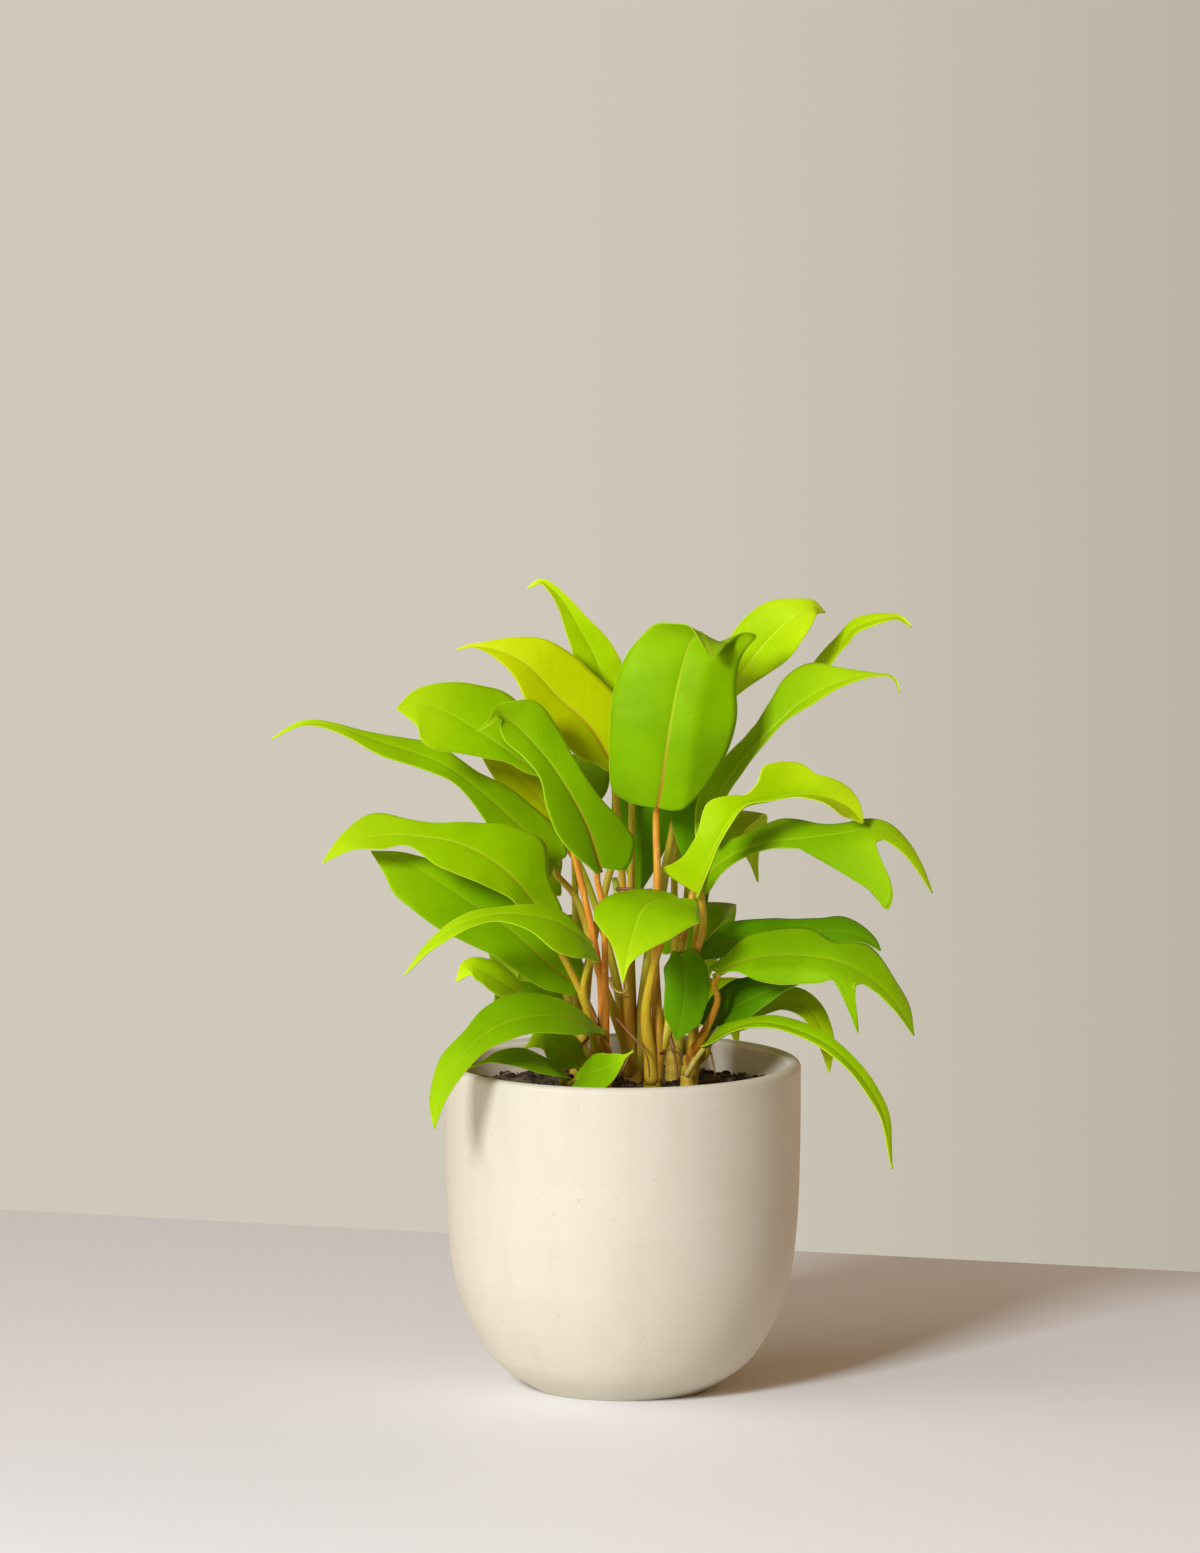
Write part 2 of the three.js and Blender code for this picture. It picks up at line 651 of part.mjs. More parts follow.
    left: [4, 7, 9, 9, 8, 6, 4, 1],
    right: [4, 7, 8, 8, 7, 6, 4, 1],
    fold: [5],
    rows: 9,
  },
  {
    name: "leaf_rim_front",
    tone: "green",
    crown: "stems_left",
    via: [],
    rib: [[-21, -32, 149], [-15, -43, 154], [-6, -52, 159], [5, -60, 167]],
    face: [[-0.2, -0.8, 0.6], [-0.1, -0.9, 0.5]],
    left: [5, 8, 9, 9, 8, 6, 4, 1],
    right: [5, 8, 11, 12, 11, 9, 5, 1],
    fold: [5],
    rows: 9,
  },
  {
    name: "leaf_rim_inner",
    tone: "lime",
    crown: "stems_left",
    via: [],
    rib: [[-19, -11, 154], [-28, -13, 161], [-37, -15, 165], [-47, -18, 161]],
    face: [[0, -0.7, 0.7], [-0.1, -0.8, 0.6]],
    left: [5, 8, 10, 10, 9, 7, 4, 1],
    right: [5, 8, 9, 9, 8, 6, 4, 1],
    fold: [5],
    rows: 9,
  },
  {
    name: "leaf_hanging",
    tone: "deep",
    crown: "stems_front",
    via: [[22, -2, 172], [27, -4, 198]],
    rib: [[27, -12, 205], [29, -15, 192], [28, -16, 180], [25, -15, 165]],
    face: [[-0.1, -1, 0.1]],
    left: [8, 10, 11, 11, 11, 10, 9, 5],
    right: [6, 9, 9.5, 9.5, 9.5, 9, 8, 4],
    fold: [5],
    curl: -15,
    rows: 9,
  },
  {
    name: "leaf_behind_left",
    tone: "deep",
    crown: "stems_rear_left",
    via: [[-14, 37, 200], [1, 43, 262]],
    rib: [[8, 38, 288], [9, 36, 274], [9, 35, 256], [8, 35, 238], [6, 36, 218]],
    face: [[0, -1, 0.1]],
    left: [9, 13, 14, 14, 13, 10, 6, 2],
    right: [9, 13, 14, 14, 13, 10, 6, 2],
    fold: [5],
    rows: 9,
  },
  {
    name: "leaf_behind_right",
    tone: "deep",
    crown: "stems_tall",
    via: [[12, 21, 200], [24, 27, 262]],
    rib: [[29, 22, 287], [33, 21, 271], [36, 20, 254], [38, 20, 237], [39, 20, 221]],
    face: [[0, -1, 0.1]],
    left: [8, 11, 12, 12, 11, 9, 6, 2],
    right: [8, 11, 12, 12, 11, 9, 6, 2],
    fold: [5],
    rows: 9,
  },
];

// Leaves of the far side, by one rule: out from their crown, up over a bow and down to the tip.
const rearLeaves = [
  { crown: "stems_rear", azimuth: 88, start: 16, height: 280, reach: 84, rise: 26, drop: 10, width: 1 },
  { crown: "stems_rear_left", azimuth: 100, start: 16, height: 262, reach: 88, rise: 24, drop: 14, width: 1 },
  { crown: "stems_rear", azimuth: 66, start: 26, height: 234, reach: 72, rise: 26, drop: 16, width: 0.9 },
  { crown: "stems_rear_left", azimuth: 128, start: 26, height: 226, reach: 76, rise: 24, drop: 18, width: 0.9 },
  { crown: "stems_rear", azimuth: 84, start: 30, height: 196, reach: 92, rise: 24, drop: 50, width: 1 },
  { crown: "stems_rear_left", azimuth: 106, start: 30, height: 190, reach: 90, rise: 24, drop: 50, width: 1 },
  { crown: "stems_rear", azimuth: 68, start: 24, height: 164, reach: 58, rise: 20, drop: 26, width: 0.7 },
  { crown: "stems_rear_left", azimuth: 116, start: 24, height: 164, reach: 58, rise: 20, drop: 30, width: 0.7 },
];
const rearTones = ["lime", "green", "pale", "lime", "green", "lime", "pale", "green"];
const rearStations = [0, 0.22, 0.48, 0.74, 0.9, 1];
const rearWidths = [13, 19, 22, 22, 20, 15, 8, 3];

function rearLeaf(form, number) {
  const [x, y] = crowns[form.crown];
  const angle = THREE.MathUtils.degToRad(form.azimuth);
  const [ux, uy] = [Math.cos(angle), Math.sin(angle)];
  const rib = rearStations.map((s) => {
    const out = form.start + form.reach * s;
    return [x + ux * out, y + uy * out, form.height + form.rise * 4 * s * (1 - s) - form.drop * s * s];
  });
  const near = form.start * 0.55;
  const widths = rearWidths.map((w) => w * form.width);
  return {
    name: `leaf_rear_${number + 1}`,
    tone: rearTones[number],
    crown: form.crown,
    via: [[x + ux * near * 0.5, y + uy * near * 0.5, 0.55 * form.height + 0.45 * 150],
      [x + ux * near, y + uy * near, form.height - 14]],
    rib,
    face: [[ux * 0.1, uy * 0.1, 1], [ux * 0.3, uy * 0.3, 0.9], [ux * 0.7, uy * 0.7, 0.6]],
    left: widths,
    right: widths,
    lobe: [6, 6],
    fold: [12, 8],
    rows: 10,
    wave: [1.4, 2.5, number * 0.21],
  };
}

// Assembly
addMesh("pot", pot(), clay);
addMesh("soil", soil(), earth);

const stalkRadii = { stems_front: 1.9, stems_tall: 1.8, stems_left: 1.6, stems_right: 1.6 };
const rearStalk = 1.7;
const clumps = new Map();

for (const leaf of [...leaves, ...rearLeaves.map(rearLeaf)]) {
  const rib = ribOf(leaf);
  addMesh(leaf.name, bladeSolid(bladeGrid(leaf, rib)), leafTones[leaf.tone]);
  const radius = stalkRadii[leaf.crown] ?? rearStalk;
  const stalks = clumps.get(leaf.crown) ?? [];
  stalks.push(solidOf(stalk(crowns[leaf.crown], leaf.via, rib, radius)));
  clumps.set(leaf.crown, stalks);
}

for (const [name, stalks] of clumps) {
  const [x, y] = crowns[name];
  const height = stemTop - holeFloor - gap;
  const stem = new THREE.CylinderGeometry(stemRadius * 0.7, stemRadius, height, 10)
    .rotateX(Math.PI / 2)
    .translate(x, y, holeFloor + gap + height / 2);
  const clump = stalks.reduce((whole, one) => whole.add(one), solidOf(stem));
  addMesh(name, geometryOf(clump), stemGreen);
}

export default plant;
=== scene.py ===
# Potted climbing aroid with lime-green, long-tipped leaves in a round cream pot.
# Millimetres in the tables, metres in the scene. The best side faces -Y.
import bisect
import random
from math import cos, exp, hypot, pi, radians, sin, sqrt

import bmesh
import bpy
from mathutils import Matrix, Vector, noise


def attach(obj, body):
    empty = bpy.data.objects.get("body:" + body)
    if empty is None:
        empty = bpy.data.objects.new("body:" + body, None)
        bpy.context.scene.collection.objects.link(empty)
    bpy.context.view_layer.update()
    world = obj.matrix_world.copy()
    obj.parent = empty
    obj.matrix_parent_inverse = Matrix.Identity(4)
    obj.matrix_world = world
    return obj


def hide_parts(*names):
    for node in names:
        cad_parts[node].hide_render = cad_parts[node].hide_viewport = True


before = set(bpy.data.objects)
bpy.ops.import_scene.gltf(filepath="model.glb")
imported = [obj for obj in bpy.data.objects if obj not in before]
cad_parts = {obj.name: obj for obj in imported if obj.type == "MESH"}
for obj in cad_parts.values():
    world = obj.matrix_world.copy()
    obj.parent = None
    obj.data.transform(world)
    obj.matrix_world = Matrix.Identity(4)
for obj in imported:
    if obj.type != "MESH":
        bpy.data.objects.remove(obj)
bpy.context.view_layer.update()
scene = bpy.context.scene
millimetre = 0.001

# Camera
cameraLook = {
    "place": (-10.4, -8000, 1434.6),
    "aim": (-10.4, 0, 285.9),
    "sensor": 36,
    "lens": 405.3,
    "reach": 60,  # metres
}


def placeAimed(name, data, look):
    item = bpy.data.objects.new(name, data)
    spot, aim = Vector(look["place"]) * millimetre, Vector(look["aim"]) * millimetre
    item.location = spot
    item.rotation_euler = (aim - spot).to_track_quat("-Z", "Y").to_euler()
    scene.collection.objects.link(item)
    return item


def addCamera(look):
    data = bpy.data.cameras.new("camera")
    data.sensor_width = look["sensor"]
    data.lens = look["lens"]
    data.clip_end = look["reach"]
    data.dof.use_dof = False
    scene.camera = placeAimed("camera", data, look)


addCamera(cameraLook)


# Small helpers for shader nodes: a source is a socket to link or a plain value
def feed(tree, source, socket):
    if isinstance(source, bpy.types.NodeSocket):
        tree.links.new(source, socket)
    else:
        socket.default_value = source


def compute(tree, operation, first, second=0.0):
    node = tree.nodes.new("ShaderNodeMath")
    node.operation = operation
    feed(tree, first, node.inputs[0])
    feed(tree, second, node.inputs[1])
    return node.outputs[0]


def plus(tree, first, second):
    return compute(tree, "ADD", first, second)


def times(tree, first, second):
    return compute(tree, "MULTIPLY", first, second)


def ramp(tree, value, low, high, start=0.0, end=1.0):
    node = tree.nodes.new("ShaderNodeMapRange")
    node.interpolation_type = "SMOOTHSTEP"
    for label, source in zip(("Value", "From Min", "From Max", "To Min", "To Max"),
                             (value, low, high, start, end)):
        feed(tree, source, node.inputs[label])
    return node.outputs["Result"]


def blend(tree, share, first, second, mode="MIX"):
    node = tree.nodes.new("ShaderNodeMix")
    node.data_type = "RGBA"
    node.blend_type = mode
    for socket, source in zip((0, 6, 7), (share, first, second)):  # the sockets of a colour mix
        feed(tree, source, node.inputs[socket])
    return node.outputs[2]


# Noise, by a pattern's scale, detail and roughness, and drawn out along an axis by its stretch
def grain(tree, spot, pattern):
    if "stretch" in pattern:
        stretch = tree.nodes.new("ShaderNodeMapping")
        feed(tree, spot, stretch.inputs["Vector"])
        stretch.inputs["Scale"].default_value = pattern["stretch"]
        spot = stretch.outputs["Vector"]
    node = tree.nodes.new("ShaderNodeTexNoise")
    feed(tree, spot, node.inputs["Vector"])
    node.inputs["Scale"].default_value = pattern["scale"]
    node.inputs["Detail"].default_value = pattern["detail"]
    node.inputs["Roughness"].default_value = pattern.get("roughness", 0.5)
    return node.outputs["Fac"]


# The same noise as soft patches. A fade holds the two values that it runs between, then,
# where they aren't 0 and 1, its strengths at both.
def patches(tree, spot, pattern):
    return ramp(tree, grain(tree, spot, pattern), *pattern["fade"])


def attributes(tree, *names):
    nodes = [tree.nodes.new("ShaderNodeAttribute") for _ in names]
    for node, name in zip(nodes, names):
        node.attribute_name = name
    return [node.outputs["Fac"] for node in nodes]


def place(tree):
    return tree.nodes.new("ShaderNodeTexCoord").outputs["Object"]


def paint(code):
    parts = [int(code[i:i + 2], 16) / 255 for i in (0, 2, 4)]
    return tuple(p / 12.92 if p <= 0.04045 else ((p + 0.055) / 1.055) ** 2.4 for p in parts) + (1.0,)


# A group for a skin, with an input for each colour and number of a look
def newGroup(name, look):
    tree = bpy.data.node_groups.new(name, "ShaderNodeTree")
    for label, value in look.items():
        kind = "NodeSocketColor" if isinstance(value, str) else "NodeSocketFloat"
        tree.interface.new_socket(name=label, in_out="INPUT", socket_type=kind)
    tree.interface.new_socket(name="Color", in_out="OUTPUT", socket_type="NodeSocketColor")
    for label in ("Roughness", "Height"):
        tree.interface.new_socket(name=label, in_out="OUTPUT", socket_type="NodeSocketFloat")
    return tree, tree.nodes.new("NodeGroupInput").outputs, tree.nodes.new("NodeGroupOutput").inputs


# The group gives what varies: colour, roughness and height. The finish gives the rest,
# its bump as a strength and a depth in millimetres.
def newMaterial(name, group, look, finish):
    material = bpy.data.materials.new(name)
    material.use_nodes = True
    tree = material.node_tree
    skin = tree.nodes.new("ShaderNodeGroup")
    skin.node_tree = group
    for label, value in look.items():
        skin.inputs[label].default_value = paint(value) if isinstance(value, str) else value
    bump = tree.nodes.new("ShaderNodeBump")
    strength, depth = finish["bump"]
    bump.inputs["Strength"].default_value = strength
    bump.inputs["Distance"].default_value = depth * millimetre
    shade = tree.nodes["Principled BSDF"]
    feed(tree, skin.outputs["Height"], bump.inputs["Height"])
    feed(tree, skin.outputs["Color"], shade.inputs["Base Color"])
    feed(tree, skin.outputs["Roughness"], shade.inputs["Roughness"])
    feed(tree, bump.outputs["Normal"], shade.inputs["Normal"])
    for label, value in finish["shader"].items():
        shade.inputs[label].default_value = value
    return material


# Pieces of the plant: vertices in millimetres, values per vertex for the shaders
def addPiece(name, vertices, faces, material, replaced=(), values=None):
    mesh = bpy.data.meshes.new(name)
    mesh.from_pydata([Vector(v) * millimetre for v in vertices], [], faces)
    for label, numbers in (values or {}).items():
        mesh.attributes.new(label, "FLOAT", "POINT").data.foreach_set("value", numbers)
    mesh.polygons.foreach_set("use_smooth", [True] * len(mesh.polygons))
    mesh.materials.append(material)
    piece = bpy.data.objects.new(name, mesh)
    scene.collection.objects.link(piece)
    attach(piece, "root")
    if replaced:
        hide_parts(*replaced)


def clamp(u):
    return min(max(u, 0.0), 1.0)


def smoothStep(u):
    return clamp(u) ** 2 * (3 - 2 * clamp(u))


def mix(a, b, u):
    return a + (b - a) * u


# Cubic from p1 to p2 with a tangent at each
def hermite(p1, p2, t1, t2, w):
    return (p1 + t1 * w + (-3 * p1 + 3 * p2 - 2 * t1 - t2) * w ** 2
            + (2 * p1 - 2 * p2 + t1 + t2) * w ** 3)


# Smooth curve through points, centripetal, with its length
class Curve:
    steps = 200
    tiny = 1e-4

    def __init__(self, points):
        self.points = [Vector(p) for p in points]
        self.table = [0.0]
        last = self.at(0)
        for i in range(1, self.steps + 1):
            here = self.at(i / self.steps)
            self.table.append(self.table[-1] + (here - last).length)
            last = here
        self.length = self.table[-1]

    def at(self, t):
        p = self.points
        last = len(p) - 1
        k = min(int(t * last), last - 1)
        p1, p2 = p[k], p[k + 1]
        p0 = p[k - 1] if k > 0 else 2 * p[0] - p[1]
        p3 = p[k + 2] if k + 2 <= last else 2 * p[last] - p[last - 1]
        d0, d1, d2 = [(b - a).length ** 0.5 for a, b in ((p0, p1), (p1, p2), (p2, p3))]
        d1 = d1 if d1 > self.tiny else 1.0
        d0 = d0 if d0 > self.tiny else d1
        d2 = d2 if d2 > self.tiny else d1
        t1 = ((p1 - p0) / d0 - (p2 - p0) / (d0 + d1) + (p2 - p1) / d1) * d1
        t2 = ((p2 - p1) / d1 - (p3 - p1) / (d1 + d2) + (p3 - p2) / d2) * d1
        return hermite(p1, p2, t1, t2, t * last - k)

    # The point at a share of the length
    def even(self, u):
        goal = clamp(u) * self.length
        k = min(max(bisect.bisect_right(self.table, goal) - 1, 0), self.steps - 1)
        share = (goal - self.table[k]) / max(self.table[k + 1] - self.table[k], 1e-9)
        return self.at((k + share) / self.steps)


# The value at u from 0 to 1 along a list of numbers, eased from one to the next
def eased(numbers, u):
    if len(numbers) == 1:
        return numbers[0]
    s = clamp(u) * (len(numbers) - 1)
    k = min(int(s), len(numbers) - 2)
    return mix(numbers[k], numbers[k + 1], smoothStep(s - k))


# Rings of points joined into a closed body of turned or swept form
def joinRings(rings, sides, bottom, top):
    vertices = [bottom] + [point for ring in rings for point in ring] + [top]
    last = len(vertices) - 1
    faces = []
    for s in range(sides):
        after = (s + 1) % sides
        faces.append((0, 1 + after, 1 + s))
        for k in range(len(rings) - 1):
            low = 1 + k * sides
            high = low + sides
            faces.append((low + s, low + after, high + after, high + s))
        high = 1 + (len(rings) - 1) * sides
        faces.append((high + s, high + after, last))
    return vertices, faces


def turned(profile, segments):
    turns = [2 * pi * s / segments for s in range(segments)]
    rings = [[Vector((r * cos(t), r * sin(t), z)) for t in turns] for r, z in profile]
    return joinRings(rings, segments, Vector((0, 0, profile[0][1])), Vector((0, 0, profile[-1][1])))


# A tube along points, each with its own radius
def tube(points, radii, sides):
    across = None
    rings = []
    for k, centre in enumerate(points):
        ahead = points[min(k + 1, len(points) - 1)]
        behind = points[max(k - 1, 0)]
        along = (ahead - behind).normalized()
        if across is None:
            across = along.orthogonal()
        across = (across - along * across.dot(along)).normalized()
        beside = along.cross(across)
        turns = [2 * pi * s / sides for s in range(sides)]
        rings.append([centre + (across * cos(t) + beside * sin(t)) * radii[k] for t in turns])
    return joinRings(rings, sides, points[0], points[-1])


# One value for each ring of a tube, as values for its vertices
def perRing(shares, sides):
    return [shares[0]] + [s for s in shares for _ in range(sides)] + [shares[-1]]


def merge(vertices, faces, addedVertices, addedFaces):
    first = len(vertices)
    vertices += addedVertices
    faces += [tuple(first + k for k in face) for face in addedFaces]


print("helpers ready")

# Pot: a turned bowl foot and a nearly straight wall with a rounded lip
potShape = {
    "wall": [(40.6, 0), (53, 8), (59, 13), (63.5, 18.5), (70, 29.5), (74.7, 41), (79, 57.5),
             (81.6, 85.5), (82.5, 118), (82.7, 150)],
    "thickness": 6,
    "floor": 7,
    "footRings": (5, 20, 34),
    "floorCurve": 1,  # height above the floor where the wall ends
    "floorEdge": 4,  # from the wall's end to where the floor is level
    "floorRings": (0.7, 0.4, 0.1),  # times the level floor's radius
    "lip": 3,
    "lipCentre": 150,
    "segments": 224,
    "steps": 90,
    "lipSteps": 16,
    "innerBottom": 100,  # the bare inner wall, above the soil
    "innerRadius": 77.5,
}


def wallPoint(t):
    wall = potShape["wall"]
    last = len(wall) - 1
    k = min(int(t * last), last - 1)
    point = []
    for axis in (0, 1):
        p0, p1, p2, p3 = [wall[min(max(k + d, 0), last)][axis] for d in (-1, 0, 1, 2)]
        point.append(hermite(p1, p2, (p2 - p0) / 2, (p3 - p1) / 2, t * last - k))
    return point


def insidePoint(t, thickness):
    step = 0.001
    low, high = wallPoint(max(t - step, 0)), wallPoint(min(t + step, 1))
    dr, dz = high[0] - low[0], high[1] - low[1]
    size = hypot(dr, dz)
    r, z = wallPoint(t)
    return r - dz / size * thickness, z + dr / size * thickness


def insideWall(thickness, floor, top, steps):
    points = [insidePoint(i / steps, thickness) for i in range(steps, -1, -1)]
    points = [p for p in points if floor + potShape["floorCurve"] < p[1] <= top]
    edge = points[-1][0] - potShape["floorEdge"]
    return points + [(edge, floor)] + [(edge * share, floor) for share in potShape["floorRings"]]


def potProfile(shape):
    steps = shape["steps"]
    profile = [(footing, 0) for footing in shape["footRings"]]
    profile += [wallPoint(i / steps) for i in range(steps + 1)]
    centre = shape["wall"][-1][0] - shape["lip"]
    for k in range(1, shape["lipSteps"] + 1):
        turn = pi * k / shape["lipSteps"]
        profile.append((centre + shape["lip"] * cos(turn),
                        shape["lipCentre"] + shape["lip"] * sin(turn)))
    return profile + insideWall(shape["thickness"], shape["floor"], shape["lipCentre"] - 1, steps)


clayLook = {
    "Body Color": "dbd3c0",
    "Stain Color": "d0c3aa",
    "Speck Color": "b2a184",
    # Inner Color: painted light, a lighter clay colour on the bare inner wall standing in for the sunlight
    # there
    "Inner Color": "fff0dc",
}
clayGrain = {
    "cloud": {"scale": 22, "detail": 4, "fade": (0.35, 0.7)},
    "streak": {"scale": 60, "detail": 3, "stretch": (1, 1, 0.25), "fade": (0.45, 0.75)},
    "speck": {"scale": 520, "detail": 1, "fade": (0.7, 0.78, 0, 0.35)},
    "turning": {"scale": 900, "detail": 3, "stretch": (0.04, 0.04, 1), "fade": (0.4, 0.7, 0, 0.14)},
    "fine": {"scale": 1600, "detail": 2},
    "stain": 0.22,  # how much the clouds and streaks stain
    "roughness": (0, 1, 0.56, 0.7),  # outside and inside the clouds
    "streakHeight": 0.5,
    "turningHeight": 1.5,
}
clayFinish = {"bump": (0.35, 0.12), "shader": {"Specular IOR Level": 0.35}}


def clayGroup(look):
    tree, given, result = newGroup("claySkin", clayLook)
    spot = place(tree)
    cloud, streak, speck = [patches(tree, spot, look[name]) for name in ("cloud", "streak", "speck")]
    turning, fine = grain(tree, spot, look["turning"]), grain(tree, spot, look["fine"])
    stain = times(tree, plus(tree, cloud, streak), look["stain"])
    stain = plus(tree, stain, ramp(tree, turning, *look["turning"]["fade"]))
    body = blend(tree, stain, given["Body Color"], given["Stain Color"])
    # painted light: the bare inner wall above the soil turns toward the Inner Color
    body = blend(tree, attributes(tree, "inner")[0], body, given["Inner Color"])
    feed(tree, blend(tree, speck, body, given["Speck Color"]), result["Color"])
    feed(tree, ramp(tree, cloud, *look["roughness"]), result["Roughness"])
    relief = plus(tree, times(tree, streak, look["streakHeight"]), fine)
    feed(tree, plus(tree, relief, times(tree, turning, look["turningHeight"])), result["Height"])
    return tree


def addPot(shape):
    clay = newMaterial("clay", clayGroup(clayGrain), clayLook, clayFinish)
    vertices, faces = turned(potProfile(shape), shape["segments"])
    # the bare inner wall, which gets painted light
    inner = [float(v.z > shape["innerBottom"] and hypot(v.x, v.y) < shape["innerRadius"])
             for v in vertices]
    addPiece("pot_body", vertices, faces, clay, ("pot",), {"inner": inner})


addPot(potShape)
print("pot ready")

# Crowns: where each clump of stalks rises from the soil
crowns = {
    "front": (14, -4),
    "right": (31, 9),
    "left": (-9, -5),
    "tall": (5, 18),
    "rear": (24, 36),
    "rear_left": (-21, 30),
}

# Soil: fills the pot, uneven on top, with loose crumbs and flat chips
soilShape = {
    "height": 139,
    "relief": 1.1,
    "lumps": ((7, 1.5), (3, 0.7)),  # size and height
    "gap": 0.3,  # to the pot
    "wallTop": 134,
    "wallSteps": 60,
    "edgeHeight": 136.5,
    "sinkReach": 6,  # the soil sinks a little at the pot's wall
    "sink": 1.2,
    "segments": 180,
    "rings": 54,
    "crumbs": {"count": 900, "size": (0.5, 2.3), "flatness": (0.5, 0.9)},
    "chips": {"count": 60, "size": (2.2, 5.5), "flatness": (0.2, 0.4)},
    "spread": 74,
    "seed": 11,
}
crumbShape = {
    "divisions": 2,
    "width": (0.6, 1),  # times the length
    "spin": 6.3,
    "tilt": 0.5,
    "proud": 0.3,  # share of the height, above the soil
    "lump": 0.35,
    "lumpScale": 1.7,
}
soilLook = {"Body Color": "35281f", "Dry Color": "6a5644", "Speck Color": "a58f74"}
soilGrain = {
    "clod": {"scale": 130, "detail": 4, "fade": (0.38, 0.66)},
    "speck": {"scale": 700, "detail": 1, "fade": (0.66, 0.74, 0, 0.8)},
    "fine": {"scale": 1400, "detail": 4, "roughness": 0.7},
    "roughness": (0, 1, 0.95, 0.82),  # damp and dry
}
soilFinish = {"bump": (0.8, 0.5), "shader": {"Specular IOR Level": 0.2}}


def soilGroup(look):
    tree, given, result = newGroup("soilSkin", soilLook)
    spot = place(tree)
    clod, speck = patches(tree, spot, look["clod"]), patches(tree, spot, look["speck"])
    body = blend(tree, clod, given["Body Color"], given["Dry Color"])
    feed(tree, blend(tree, speck, body, given["Speck Color"]), result["Color"])
    feed(tree, ramp(tree, clod, *look["roughness"]), result["Roughness"])
    feed(tree, grain(tree, spot, look["fine"]), result["Height"])
    return tree


# The measured model's swell, with finer lumps
def soilTop(x, y):
    swell = sin(x / 9 + 1) * cos(y / 11) + sin(y / 7 + x / 17)
    height = soilShape["height"] + soilShape["relief"] * swell
    for size, lift in soilShape["lumps"]:
        height += lift * noise.noise(Vector((x, y, 0)) / size)
    return height


def unitBall(divisions):
    ball = bmesh.new()
    bmesh.ops.create_icosphere(ball, subdivisions=divisions, radius=1)
    vertices = [v.co.copy() for v in ball.verts]
    faces = [tuple(v.index for v in f.verts) for f in ball.faces]
    ball.free()
    return vertices, faces


def scatter(draw, kind, shape, vertices, faces):
    ballVertices, ballFaces = unitBall(shape["divisions"])
    for _ in range(kind["count"]):
        far = soilShape["spread"] * sqrt(draw.random())
        turn = draw.uniform(0, 2 * pi)
        x, y = far * cos(turn), far * sin(turn)
        size = mix(*kind["size"], draw.random() ** 2)
        scale = Vector((size, size * draw.uniform(*shape["width"]), size * draw.uniform(*kind["flatness"])))
        spin = Matrix.Rotation(draw.uniform(0, shape["spin"]), 3, "Z")
        spin = spin @ Matrix.Rotation(draw.uniform(-shape["tilt"], shape["tilt"]), 3, "X")
        centre = Vector((x, y, soilTop(x, y) + scale.z * shape["proud"]))
        crumb = []
        for v in ballVertices:
            lump = 1 + shape["lump"] * noise.noise(v * shape["lumpScale"] + centre)
            crumb.append(centre + spin @ Vector((v.x * scale.x, v.y * scale.y, v.z * scale.z)) * lump)
        merge(vertices, faces, crumb, ballFaces)


def addSoil(shape):
    thickness, floor = potShape["thickness"] + shape["gap"], potShape["floor"] + shape["gap"]
    profile = insideWall(thickness, floor, shape["wallTop"], shape["wallSteps"])[::-1]
    edge = profile[-1][0]
    profile.append((edge, shape["edgeHeight"]))
    profile += [(edge * (1 - k / shape["rings"]), shape["height"]) for k in range(shape["rings"])]
    vertices, faces = turned(profile, shape["segments"])
    for v in vertices:
        if v.z > shape["height"] - 1:
            sink = smoothStep((hypot(v.x, v.y) - edge + shape["sinkReach"]) / shape["sinkReach"])
            v.z = soilTop(v.x, v.y) - sink * shape["sink"]
    draw = random.Random(shape["seed"])
    for kind in ("crumbs", "chips"):
        scatter(draw, shape[kind], crumbShape, vertices, faces)
    earth = newMaterial("soil", soilGroup(soilGrain), soilLook, soilFinish)
    addPiece("soil_fill", vertices, faces, earth, ("soil",))


addSoil(soilShape)
print("soil ready")

# What a leaf has where its own row names nothing else
plainLeaf = {
    "via": (),  # points that the stalk passes on its way up from its crown
    "finger": None,  # out where a side finger starts, its place along and its lean in degrees
    "fold": (5,),  # degrees up at the midrib, base to tip
    "curl": -25,  # degrees that each half bends by, 25 mm out from the midrib
    "lobe": (2, 2),  # how far the base reaches back, left and right
    "wave": (0, 0, 0),  # height, cycles and phase of the ripple along the margin
    "fine": False,  # more rows, for a busy outline
    "ribTone": 0.4,  # how clear the midrib is
    # shadeTone: painted shade, extra darkening toward the Shade Color for a leaf that sits in shadow; below
    # 0 it lightens the leaf
    "shadeTone": 0.0,
    "warmth": 0.35,  # of the stalk: 0 yellow-green, 1 orange-brown
}
leaves = []


def grow(name, tone, crown, rib, face, left, right=None, **form):
    shape = {"rib": rib, "face": face, "left": left, "right": right or left}
    leaves.append({**plainLeaf, "name": "leaf_" + name, "tone": tone, "crown": crown, **shape, **form})


